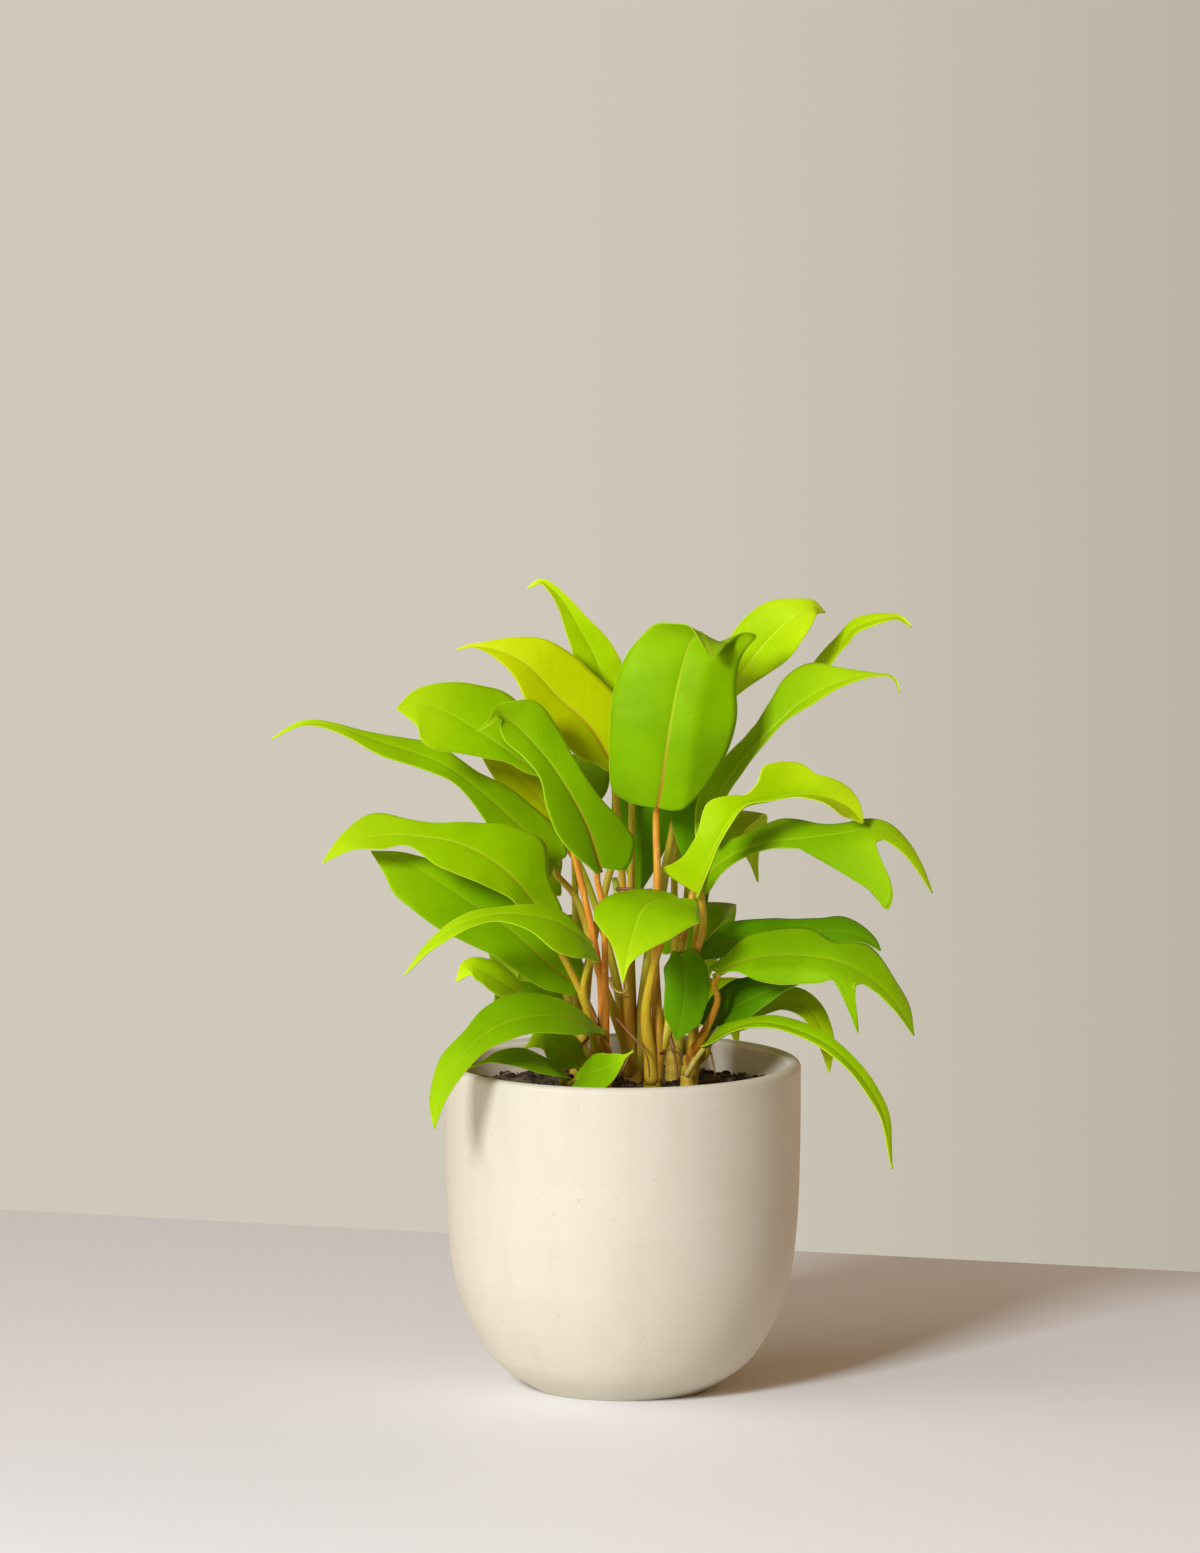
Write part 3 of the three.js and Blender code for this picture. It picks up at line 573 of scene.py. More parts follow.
# Leaves of the best side. rib: points along the midrib; face: which way the blade looks, base
# to tip; left and right: half widths at even stations, or pairs of share along and width.
# The deep tone is painted shade on leaves deep in the plant; a shadeTone above 0 darkens a leaf in shadow as
# painted shade, below 0 it lightens it.
grow("front", "green", "front", via=[(16, -4, 173), (15, -9, 208), (16, -16, 240)],
     rib=[(16, -18, 274), (18, -20, 285), (21, -22, 306), (24, -20, 324), (28, -17, 341), (32, -17, 352),
         (36, -21, 356), (39, -27, 352), (41, -31, 345)],
     face=[(-0.05, -1, 0.1), (-0.1, -1, 0.12), (-0.1, -1, 0.15), (-0.12, -1, 0.1), (-0.15, -1, 0),
         (-0.15, -0.5, -0.8), (-0.15, 0.5, -0.8)], left=[22, 25, 27, 28.5, 29, 27, 20, 7],
     right=[(0.005, 8), (0.08, 21.5), (0.18, 30), (0.34, 33.5), (0.56, 29.5), (0.68, 30), (0.76, 34),
         (0.84, 22), (0.92, 11), (0.97, 5)], finger={"start": 12, "at": 0.62, "lean": 35}, fold=[10, 8, 4],
     curl=-20, lobe=[0, 0], fine=True, ribTone=1.0, warmth=0.75)
grow("top_left", "amber", "tall", via=[(2, 14, 200), (-2, 10, 262)],
     rib=[(-5, 8, 291), (-15, 6, 308), (-29, 5, 322), (-45, 6, 338), (-59, 9, 344), (-70, 12, 345),
         (-77, 14, 343)], face=[(0.3, -0.9, 0.35), (0.2, -0.9, 0.4), (0, -0.8, 0.6)],
     left=[8, 15, 17, 17, 15, 10.5, 6, 2], right=[14, 18, 19, 19, 18.5, 15, 8, 2], fold=[22, 18, 12],
     curl=-20, ribTone=1.0, warmth=0.55)
grow("spire", "pale", "tall", via=[(4, 22, 200), (4, 27, 280)],
     rib=[(0, 26, 312), (-8, 28, 326), (-13, 28, 339), (-19, 28, 350), (-26, 28, 362), (-33, 28, 370),
         (-38, 28, 373), (-44, 28, 370)], face=[(0.1, -0.9, 0.3), (-0.2, -0.9, 0.4), (-0.1, -0.8, 0.6)],
     left=[8, 9, 10, 10, 8, 6, 4, 2], right=[8, 10, 11, 10, 8, 5, 3, 2], fold=[20])
grow("torch", "pale", "tall", via=[(14, 26, 200), (30, 33, 280)],
     rib=[(46, 32, 317), (57, 32, 332), (69, 30, 347), (80, 28, 357), (88, 30, 361), (94, 33, 358)],
     face=[(-0.2, -0.9, 0.35), (-0.2, -0.9, 0.4), (0, -0.6, 0.8)], left=[6, 10, 13, 15, 15.5, 14.5, 11, 5],
     right=[4, 6, 9, 12, 14, 14, 12, 7], fold=[15, 10], curl=-20, ribTone=0.7, shadeTone=-0.2, warmth=0.1)
grow("wisp", "pale", "rear", via=[(28, 42, 200), (37, 48, 263), (50, 50, 285), (66, 50, 305)],
     rib=[(86, 50, 322), (97, 47, 336), (103, 43, 344), (108, 40, 350), (115, 38, 353), (122, 36, 355),
         (128, 36, 355), (134, 34, 351)], face=[(-0.35, -0.55, 0.8), (-0.2, -0.5, 0.85)],
     left=[4, 5.5, 6, 6, 6, 5, 4, 2], fold=[10, 5], curl=-15, warmth=0.1)
grow("reaching", "lime", "front", via=[(22, 4, 180), (33, 5, 232)],
     rib=[(38, 4, 257), (43, 6, 274), (55, 8, 292), (68, 8, 306), (83, 6, 320), (100, 0, 330),
         (116, -4, 334), (125, -6, 333), (128, -8, 326)],
     face=[(-0.3, -0.8, 0.45), (-0.35, -0.75, 0.55), (-0.1, -0.5, 0.85)], left=[6, 8, 8, 7, 11, 19, 8, 1.5],
     right=[6, 5, 5, 4, 3, 5.5, 4, 1.5], fold=[15, 12, 5], curl=-35, ribTone=0.6, warmth=0.5)
grow("hooked", "pale", "front", via=[(24, -1, 180), (37, -12, 215)],
     rib=[(34, -26, 235), (37, -30, 245), (42, -32, 257), (48, -30, 268), (56, -26, 276), (68, -21, 278),
         (82, -17, 280), (95, -15, 278), (105, -14, 273), (111, -14, 266)],
     face=[(-0.4, -0.75, 0.5), (-0.4, -0.7, 0.6), (-0.1, -0.7, 0.7), (-0.05, -0.7, 0.7), (0.1, -0.7, 0.7)],
     left=[(0.01, 21), (0.06, 17), (0.13, 12), (0.25, 10), (0.36, 13), (0.42, 8), (0.46, 4.5), (0.51, 8),
         (0.56, 15.5), (0.63, 16.5), (0.7, 14.5), (0.75, 10), (0.8, 9.5), (0.88, 8), (0.95, 4)],
     right=[3, 4, 4, 4, 3.5, 5, 9, 9], fold=[18, 30, 42, 42, 10], fine=True, warmth=0.55)
grow("lobed", "lime", "right", via=[(34, 14, 180), (34, 17, 208)],
     rib=[(35, 14, 228), (40, 11, 239), (49, 8, 247), (64, 4, 254), (82, 0, 257), (101, -4, 260),
         (117, -9, 263), (129, -13, 257), (138, -16, 246), (143, -18, 234)],
     face=[(-0.2, -0.75, 0.65), (-0.1, -0.7, 0.7), (0.2, -0.6, 0.75), (0.4, -0.5, 0.7)],
     left=[6, 9, 8.5, 15, 8.5, 7, 6, 2],
     right=[(0.04, 5), (0.25, 4.5), (0.375, 4.5), (0.46, 7), (0.5, 12), (0.515, 18), (0.553, 25.5),
         (0.593, 34), (0.614, 46), (0.661, 40), (0.69, 31), (0.702, 20), (0.71, 9), (0.74, 5.5), (0.8, 4.5),
         (0.92, 3)], finger={"start": 8, "at": 0.63, "lean": 22}, fold=[5, -2, -5], curl=-30, fine=True,
     shadeTone=0.9, warmth=0.5)
grow("canopy", "deep", "right", via=[(33, 8, 165), (30, 10, 188)],
     rib=[(35, 6, 202), (45, 0, 207), (59, -6, 211), (75, -12, 214), (91, -18, 216), (105, -22, 216),
         (114, -26, 213), (119, -30, 209)], face=[(-0.1, -0.6, 0.8), (0, -0.55, 0.85), (0.3, -0.5, 0.8)],
     left=[8, 18, 16, 15, 12, 11, 13, 7], right=[6, 8, 10, 10, 10, 12, 12, 6], fold=[5, 2], curl=-35,
     shadeTone=0.4, warmth=0.6)
grow("broad", "green", "right", via=[(36, -4, 163), (44, -15, 184)],
     rib=[(43, -25, 198), (52, -31, 203), (63, -36, 207), (82, -44, 209), (100, -51, 207), (114, -55, 200),
         (126, -58, 188), (134, -59, 174)], face=[(-0.1, -0.6, 0.8), (0.1, -0.6, 0.8), (0.5, -0.55, 0.65)],
     left=[10, 17, 21, 20.5, 12, 18, 11, 8],
     right=[(0.04, 3), (0.12, 6), (0.2, 13), (0.3, 17), (0.4, 17), (0.5, 15), (0.57, 12), (0.605, 16),
         (0.62, 30), (0.635, 36), (0.655, 24), (0.67, 8), (0.75, 5), (0.9, 3)],
     finger={"start": 9, "at": 0.61, "lean": 38}, fold=[4], lobe=[6, 2], fine=True, warmth=0.8)
grow("shaded", "deep", "right",
     rib=[(38, 4, 168), (47, -1, 175), (57, -7, 182), (69, -13, 188), (81, -19, 192)],
     face=[(0.2, -0.7, 0.7), (0.3, -0.8, 0.5)], left=[8, 12, 14, 14, 12, 10, 7, 3],
     right=[6, 9, 11, 11, 9, 7, 5, 2], curl=-30, shadeTone=0.9)
grow("trailing", "lime", "right",
     rib=[(38, -4, 162), (50, -14, 170), (63, -26, 175), (79, -38, 174), (96, -48, 167), (110, -54, 154),
         (120, -58, 137), (124, -60, 112)], face=[(0, -0.6, 0.8), (0.25, -0.6, 0.7), (0.6, -0.5, 0.5)],
     left=[5, 5, 5, 6, 5, 4, 4, 3], right=[4, 4, 4, 4, 4, 4, 4, 2])
grow("rim_right", "pale", "right", via=[(44, 20, 162)],
     rib=[(60, 30, 171), (69, 24, 177), (79, 16, 179), (88, 10, 174), (93, 6, 165), (95, 3, 156),
         (96, 1, 147)], face=[(-0.1, -0.6, 0.8), (0.4, -0.6, 0.6)], left=[6, 8, 9, 8, 7, 6, 5, 3])
grow("spout", "lime", "front", via=[(11, -12, 180), (22, -24, 222)],
     rib=[(26, -34, 234), (16, -46, 235), (9, -58, 232), (5, -69, 223), (2, -76, 213), (0, -80, 202)],
     face=[(-0.1, -0.35, 0.95), (-0.1, -0.5, 0.9), (0, -0.9, 0.4)], left=[15, 21, 25, 28, 26, 19, 9, 2],
     right=[12, 15, 18, 21, 22, 17, 9, 4], fold=[8, 5], curl=-20, ribTone=0.6, warmth=0.6)
grow("curled", "green", "left", via=[(-8, -12, 190), (-9, -26, 228)],
     rib=[(-10, -34, 248), (-17, -38, 270), (-29, -40, 292), (-40, -38, 306), (-50, -38, 316),
         (-57, -42, 321), (-61, -48, 318), (-67, -50, 314)],
     face=[(0.35, -0.75, 0.55), (0.3, -0.8, 0.5), (0, -0.9, 0.2)], left=[8, 14, 18, 16, 10.5, 9.5, 10, 3],
     right=[21, 19, 13, 10.5, 11, 14, 14.5, 3], fold=[22, 15, 15], curl=-35, lobe=[1, 5], ribTone=0.9,
     warmth=0.95)
grow("plate", "lime", "left", via=[(-10, 0, 190), (-26, -2, 262)],
     rib=[(-36, -14, 288), (-51, -22, 300), (-66, -26, 311), (-79, -28, 319), (-93, -30, 324),
         (-104, -32, 322)], face=[(0.05, -0.95, 0.35), (0, -0.95, 0.35)],
     left=[2, 4, 5, 9.5, 13.4, 17.6, 18, 13.4], right=[8, 14, 20, 22, 22, 18, 13.5, 7], ribTone=0.5,
     warmth=1.0)
grow("waisted", "lime", "tall", via=[(-10, 12, 190), (-22, 13, 228)],
     rib=[(-31, 10, 244), (-43, 8, 257), (-57, 5, 271), (-67, 3, 280), (-80, 1, 290), (-96, 0, 297),
         (-114, -2, 303), (-132, -4, 310), (-147, -4, 311), (-162, -4, 304)],
     face=[(0.2, -0.7, 0.7), (0.1, -0.7, 0.7), (0, -0.6, 0.8), (0, -0.6, 0.8)],
     left=[20, 20, 12, 7, 8, 9, 5, 2], right=[14, 14, 12, 7, 9, 6, 2.5, 2])
# Amber on this leaf also paints the sunlight that falls on it.
grow("tucked", "amber", "tall", via=[(-6, 25, 200), (-20, 30, 240)],
     rib=[(-27, 26, 255), (-38, 22, 272), (-50, 18, 285), (-64, 15, 298), (-73, 13, 306)],
     face=[(0.2, -0.8, 0.5)], left=[8, 12, 14, 14, 12, 10, 7, 3], right=[8, 14, 16, 16, 14, 11, 8, 3])
grow("fan", "lime", "left", via=[(-16, -8, 178), (-32, -16, 212)],
     rib=[(-40, -20, 229), (-48, -26, 240), (-61, -30, 252), (-77, -32, 260), (-93, -34, 263),
         (-109, -36, 264), (-125, -40, 261), (-138, -44, 252)],
     face=[(0.15, -0.88, 0.5), (0.1, -0.85, 0.55), (0, -0.7, 0.7)], left=[8, 9, 13, 15, 14, 6, 7.5, 4],
     right=[14, 25, 21, 13.5, 8, 8, 12, 6], fold=[8, 5], lobe=[3, 14], fine=True, ribTone=0.65,
     shadeTone=-0.2, warmth=0.55)
grow("skirt", "green", "left", via=[(-14, -2, 172)],
     rib=[(-21, 0, 188), (-36, -6, 201), (-52, -10, 216), (-70, -14, 229), (-89, -17, 242),
         (-103, -19, 250), (-116, -21, 254)], face=[(0.25, -0.85, 0.45), (0.15, -0.85, 0.45)],
     left=[8, 12, 14, 16, 18, 19.5, 18.5, 15], right=[12, 14, 16, 16, 14, 12, 8, 4], fold=[8, 5],
     warmth=0.5)
grow("drooping", "lime", "left", via=[(-14, -18, 170), (-18, -30, 192)],
     rib=[(-14, -42, 213), (-21, -48, 220), (-30, -53, 226), (-43, -58, 230), (-59, -62, 231),
         (-75, -66, 227), (-89, -68, 217), (-100, -70, 204)],
     face=[(0.15, -0.6, 0.8), (0.1, -0.6, 0.8), (-0.2, -0.6, 0.7)], left=[11, 16, 18, 10, 5, 5, 4.5, 2],
     right=[4, 6, 8, 6, 4, 4, 3, 2], curl=-30, lobe=[5, 1])
grow("tuft", "pale", "left", via=[(-20, 2, 158), (-36, 9, 170)],
     rib=[(-45, 8, 180), (-54, 2, 188), (-64, -2, 195), (-71, -4, 197), (-77, -6, 191)],
     face=[(0.2, -0.7, 0.7), (0, -0.7, 0.7)], left=[5, 7, 8, 8, 8, 7, 6, 3])
grow("draped", "green", "left", via=[(-7, -15, 160)],
     rib=[(-9, -26, 170), (-21, -38, 178), (-36, -50, 182), (-52, -60, 181), (-68, -70, 173),
         (-78, -78, 160), (-84, -83, 148), (-86, -86, 135)],
     face=[(0.1, -0.6, 0.8), (-0.1, -0.7, 0.7), (-0.5, -0.6, 0.5)], left=[3, 8, 12, 11, 10.5, 8, 6.5, 4.5],
     right=[4, 11, 16, 16, 13, 8, 9.5, 6.5], warmth=0.6)
grow("rim_left", "green", "left",
     rib=[(-26, -20, 149), (-36, -34, 157), (-47, -44, 161), (-59, -52, 162), (-70, -58, 159)],
     face=[(0, -0.6, 0.8), (-0.1, -0.7, 0.7)], left=[4, 7, 9, 9, 8, 6, 4, 1],
     right=[4, 7, 8, 8, 7, 6, 4, 1])
grow("rim_front", "green", "left", rib=[(-21, -32, 149), (-15, -43, 154), (-6, -52, 159), (5, -60, 167)],
     face=[(-0.2, -0.8, 0.6), (-0.1, -0.9, 0.5)], left=[5, 8, 9, 9, 8, 6, 4, 1],
     right=[5, 8, 11, 12, 11, 9, 5, 1])
grow("rim_inner", "lime", "left", rib=[(-19, -11, 154), (-28, -13, 161), (-37, -15, 165), (-47, -18, 161)],
     face=[(0, -0.7, 0.7), (-0.1, -0.8, 0.6)], left=[5, 8, 10, 10, 9, 7, 4, 1],
     right=[5, 8, 9, 9, 8, 6, 4, 1])
grow("hanging", "deep", "front", via=[(22, -2, 172), (27, -4, 198)],
     rib=[(27, -12, 205), (29, -15, 192), (28, -16, 180), (25, -15, 165)], face=[(-0.1, -1, 0.1)],
     left=[8, 10, 11, 11, 11, 10, 9, 5], right=[6, 9, 9.5, 9.5, 9.5, 9, 8, 4], curl=-15)
grow("behind_left", "deep", "rear_left", via=[(-14, 37, 200), (1, 43, 262)],
     rib=[(8, 38, 288), (9, 36, 274), (9, 35, 256), (8, 35, 238), (6, 36, 218)], face=[(0, -1, 0.1)],
     left=[9, 13, 14, 14, 13, 10, 6, 2])
grow("behind_right", "deep", "tall", via=[(12, 21, 200), (24, 27, 262)],
     rib=[(29, 22, 287), (33, 21, 271), (36, 20, 254), (38, 20, 237), (39, 20, 221)], face=[(0, -1, 0.1)],
     left=[8, 11, 12, 12, 11, 9, 6, 2])

# Leaves of the far side by one rule: out from their crown, up over a bow and down to the tip.
# Tone, crown, azimuth in degrees, start, height, reach, rise, drop and share of the full width.
rearLeaves = [
    ("lime", "rear", 88, 16, 280, 84, 26, 10, 1),
    ("green", "rear_left", 100, 16, 262, 88, 24, 14, 1),
    ("pale", "rear", 66, 26, 234, 72, 26, 16, 0.9),
    ("lime", "rear_left", 128, 26, 226, 76, 24, 18, 0.9),
    ("green", "rear", 84, 30, 196, 92, 24, 50, 1),
    ("lime", "rear_left", 106, 30, 190, 90, 24, 50, 1),
    ("pale", "rear", 68, 24, 164, 58, 20, 26, 0.7),
    ("green", "rear_left", 116, 24, 164, 58, 20, 30, 0.7),
]
rearShape = {
    "stations": (0, 0.22, 0.48, 0.74, 0.9, 1),
    "widths": (13, 19, 22, 22, 20, 15, 8, 3),
    "faces": ((0.1, 1), (0.3, 0.9), (0.7, 0.6)),  # outward and upward
    "stalkBend": 0.55,  # of the way out to the blade and up to its base
    "crownTop": 150,
    "stalkDip": 14,  # below the base of the blade
    "lobe": (6, 6),
    "fold": (12, 8),
    "wave": (1.4, 2.5, 0.21),  # height, cycles and the shift from leaf to leaf
}


def growRear(number, shape, tone, crown, azimuth, start, height, reach, rise, drop, width):
    x, y = crowns[crown]
    ux, uy = cos(radians(azimuth)), sin(radians(azimuth))
    rib = []
    for s in shape["stations"]:
        out = start + reach * s
        rib.append((x + ux * out, y + uy * out, height + rise * 4 * s * (1 - s) - drop * s * s))
    near = start * shape["stalkBend"]
    bend = (x + ux * near / 2, y + uy * near / 2, mix(shape["crownTop"], height, shape["stalkBend"]))
    below = (x + ux * near, y + uy * near, height - shape["stalkDip"])
    lift, cycles, shift = shape["wave"]
    grow(f"rear_{number + 1}", tone, crown, rib, [(ux * out, uy * out, up) for out, up in shape["faces"]],
         [w * width for w in shape["widths"]], via=[bend, below], lobe=shape["lobe"], fold=shape["fold"],
         wave=(lift, cycles, number * shift))


for number, row in enumerate(rearLeaves):
    growRear(number, rearShape, *row)

# Blade: how finely it is cut and how its surface swells between the side veins
bladeShape = {
    "rows": 76,
    "fineRows": 120,  # for blades with a busy outline
    "columns": 13,  # on each side of the midrib
    "crowding": 1.3,  # more columns near the midrib
    "thickness": 0.5,
    "rimThickness": 0.4,
    "rimReach": 2,
    "leastWidth": 0.35,
    "groove": 0.35,
    "grooveWidth": 1.2,
    "veinSpacing": 7.0,
    "veinSlope": 0.75,
    "veinShift": 0.41,  # of the right side against the left
    "quilt": 0.05,
    "quiltPower": 0.7,
    "calmReach": 5,  # no quilting at the midrib and the rim
    "ripple": 0.9,
    "rippleSize": 15,
    "seedStep": 3.7,
}
ribShape = {
    "steps": 64,
    "half": 0.4,  # half width of the blade at its two ends
    "lobeOut": 0.55,  # a basal lobe's place, in widths at the base
    "base": 0.04,  # share of the length where the width at the base is reached
    "bendScale": 25,  # a blade's curl is given in degrees at this distance from the midrib
    "fingerDrop": -25,  # degrees
    "waveScale": 20,  # distance from the midrib where a wave reaches its height
    "waveShift": 0.37,  # cycles between the two halves
}
stalkRadii = {"front": 1.9, "tall": 1.8, "left": 1.6, "right": 1.6, "rear": 1.7, "rear_left": 1.7}


class Rib:
    def __init__(self, leaf):
        curve = Curve(leaf["rib"])
        self.length = curve.length
        self.steps = ribShape["steps"]
        stations = range(self.steps + 1)
        points = [curve.even(i / self.steps) for i in stations]
        self.points = points
        self.tangents = [(points[min(self.steps, i + 1)] - points[max(0, i - 1)]).normalized()
                         for i in stations]
        self.normals = []
        for i, t in enumerate(self.tangents):
            n = Vector([eased([f[axis] for f in leaf["face"]], i / self.steps) for axis in range(3)])
            n.normalize()
            self.normals.append((n - t * n.dot(t)).normalized())

    # Place, direction along, facing and right-hand direction at a share of the length
    def frame(self, a):
        s = clamp(a) * self.steps
        k = min(int(s), self.steps - 1)
        spot = self.points[k].lerp(self.points[k + 1], s - k)
        along = self.tangents[k].lerp(self.tangents[k + 1], s - k).normalized()
        facing = self.normals[k].lerp(self.normals[k + 1], s - k)
        facing = (facing - along * facing.dot(along)).normalized()
        if a < 0:
            spot = spot + along * a * self.length
        return spot, along, facing, along.cross(facing)


# A point of the blade: each half folds up at the rib and curls outside it, and a finger
# leaves the right half in a straight line
def bladePoint(leaf, rib, a, out):
    side = 1 if out >= 0 else -1
    finger = leaf["finger"]
    if finger and side > 0 and out > finger["start"]:
        root = bladePoint(leaf, rib, a, finger["start"])
        _, along, facing, right = rib.frame(finger["at"])
        lean, drop = radians(finger["lean"]), radians(ribShape["fingerDrop"])
        way = (right * cos(drop) + facing * sin(drop)) * cos(lean) + along * sin(lean)
        return root + way * (out - finger["start"])
    spot, _, facing, right = rib.frame(a)
    fold = radians(eased(leaf["fold"], a))
    bend = radians(leaf["curl"]) / ribShape["bendScale"]
    distance = abs(out)
    end = fold + bend * distance
    across = (sin(end) - sin(fold)) / bend
    height, cycles, phase = leaf["wave"]
    turn = 2 * pi * (cycles * a + phase + (ribShape["waveShift"] if side > 0 else 0))
    wave = height * (distance / ribShape["waveScale"]) ** 2 * sin(turn)
    return spot + right * side * across + facing * ((cos(fold) - cos(end)) / bend + wave)


# The outline of one half, in millimetres along and out from the midrib
def marginOf(leaf, side, length):
    widths = leaf["right"] if side > 0 else leaf["left"]
    points = [(0, ribShape["half"], 0)]
    if isinstance(widths[0], tuple):
        points += [(a * length, out, 0) for a, out in widths]
    else:
        lobe = leaf["lobe"][1 if side > 0 else 0]
        points += [(-lobe, widths[0] * ribShape["lobeOut"], 0), (ribShape["base"] * length, widths[0], 0)]
        points += [(k / len(widths) * length, widths[k], 0) for k in range(1, len(widths))]
    points.append((length, ribShape["half"], 0))
    return Curve(points)


# The blade's mid surface, each point with its place along, outward, to the rim and among the veins
def bladeGrid(leaf, rib, shape):
    rows = shape["fineRows"] if leaf["fine"] else shape["rows"]
    columns = shape["columns"]
    margins = {side: marginOf(leaf, side, rib.length) for side in (-1, 1)}
    points, facts = [], []
    for i in range(rows + 1):
        t = i / rows
        edges = {side: margins[side].even(t) for side in (-1, 1)}
        for j in range(-columns, columns + 1):
            side = -1 if j < 0 else 1
            share = (abs(j) / columns) ** shape["crowding"]
            a = mix(t, edges[side].x / rib.length, share)
            width = max(edges[side].y, shape["leastWidth"])
            out = width * share
            run = (a * rib.length - shape["veinSlope"] * out) / shape["veinSpacing"]
            points.append(bladePoint(leaf, rib, a, side * out))
            facts.append((a, out, width - out, run + shape["veinShift"] * (side > 0), share))
    return points, facts, rows + 1, 2 * columns + 1


def gridNormals(points, rows, columns):
    normals = []
    for i in range(rows):
        for j in range(columns):
            up, down = min(i + 1, rows - 1), max(i - 1, 0)
            right, left = min(j + 1, columns - 1), max(j - 1, 0)
            tall = points[up * columns + j] - points[down * columns + j]
            wide = points[i * columns + right] - points[i * columns + left]
            n = wide.cross(tall)
            if n.length < 1e-6 and normals:
                n = normals[-1].copy()
            normals.append(n.normalized())
    return normals


# Both faces of the blade, with a strip round the edge
def bladeBody(leaf, rib, shape):
    points, facts, rows, columns = bladeGrid(leaf, rib, shape)
    seed = Vector((len(leaf["name"]) * shape["seedStep"], rib.length, rib.points[0].x))
    top, under = [], []
    for point, (a, out, rimGap, run, share), n in zip(points, facts, gridNormals(points, rows, columns)):
        swell = abs(sin(pi * run)) ** shape["quiltPower"] - 0.5
        calm = smoothStep(out / shape["calmReach"]) * smoothStep(rimGap / shape["calmReach"])
        wander = noise.noise(point / shape["rippleSize"] + seed)
        middle = point + n * (shape["quilt"] * swell * calm + shape["ripple"] * wander * share ** 2)
        half = mix(shape["thickness"], shape["rimThickness"], smoothStep(1 - rimGap / shape["rimReach"])) / 2
        groove = shape["groove"] * exp(-(out / shape["grooveWidth"]) ** 2) * max(1 - a, 0) ** 0.5
        top.append(middle + n * (half - groove))
        under.append(middle - n * (half + groove))
    first = len(top)
    faces = []
    for i in range(rows - 1):
        for j in range(columns - 1):
            a, b = i * columns + j, i * columns + j + 1
            c, d = b + columns, a + columns
            faces.append((a, b, c, d))
            faces.append((first + a, first + d, first + c, first + b))
    edge = list(range(columns - 1))
    edge += [i * columns + columns - 1 for i in range(rows - 1)]
    edge += [(rows - 1) * columns + j for j in range(columns - 1, 0, -1)]
    edge += [i * columns for i in range(rows - 1, 0, -1)]
    for k, a in enumerate(edge):
        b = edge[(k + 1) % len(edge)]
        faces.append((a, first + a, first + b, b))
    values = {label: [f[k] for f in facts] * 2
              for k, label in enumerate(("along", "outward", "rimGap", "veinRun"))}
    values["underside"] = [0.0] * first + [1.0] * first
    return top + under, faces, values


# The thick part of the midrib, proud of the blade's underside
midribShape = {
    "start": -0.02,  # share of the length
    "end": 0.88,
    "steps": 40,
    "sides": 10,
    "radius": 0.82,  # times the stalk's radius, at the base
    "tip": 0.22,
    "taper": 0.6,
    "below": 0.2,  # the blade's mid surface
}


def midrib(rib, radius, shape):
    points, radii, shares = [], [], []
    for k in range(shape["steps"] + 1):
        a = mix(shape["start"], shape["end"], k / shape["steps"])
        spot, _, facing, _ = rib.frame(a)
        along = max(a, 0)
        size = mix(radius * shape["radius"], shape["tip"], (along / shape["end"]) ** shape["taper"])
        points.append(spot - facing * (size + shape["below"]))
        radii.append(size)
        shares.append(along)
    return *tube(points, radii, shape["sides"]), perRing(shares, shape["sides"])


tissueColours = ("Blade Color", "Shade Color", "Tip Color", "Vein Color", "Rib Color",
                 "Rib End Color", "Margin Color", "Underside Color")


def leafLook(*colours):
    return {**dict(zip(tissueColours, colours)), "Vein Strength": 0.12, "Base Depth": 0.2}


# Leaf colours. Pale and amber are lighter leaf colours that also paint the glow of light through backlit
# leaves.
leafLooks = {
    "lime": leafLook("92be00", "7cac00", "b8d810", "b4d410", "b8b424", "b8d428", "c8e030", "a8cc18"),
    "pale": leafLook("acd200", "98c000", "c8e418", "c8e418", "b8ac28", "c8e028", "d8ea40", "bcdc20"),
    "green": leafLook("80b200", "6c9a00", "a0c808", "94be0c", "b47028", "acc028", "b0d028", "92bc18"),
    "amber": leafLook("c0d000", "b0bc00", "c8d808", "d0d818", "bc8420", "ccd028", "dce040", "c8d028"),
    # deep: a darker copy of the leaf colours that paints the shade on leaves deep in the plant
    "deep": leafLook("64a000", "508400", "6c9c08", "689c10", "8c7420", "84a820", "8cb830", "64981c"),
}
leafGrain = {
    "cloud": {"scale": 38, "detail": 3, "fade": (0.36, 0.68)},
    "gloss": {"scale": 160, "detail": 2, "fade": (0.3, 0.7, 0.42, 0.52)},
    "wander": {"scale": 90, "detail": 2},
    "cells": {"scale": 240, "detail": 1},
    "cloudDepth": 0.5,
    "veinWander": 0.6,
    "underside": 0.6,
    "undersideRoughness": 0.14,
    "cellHeight": 0.3,
}
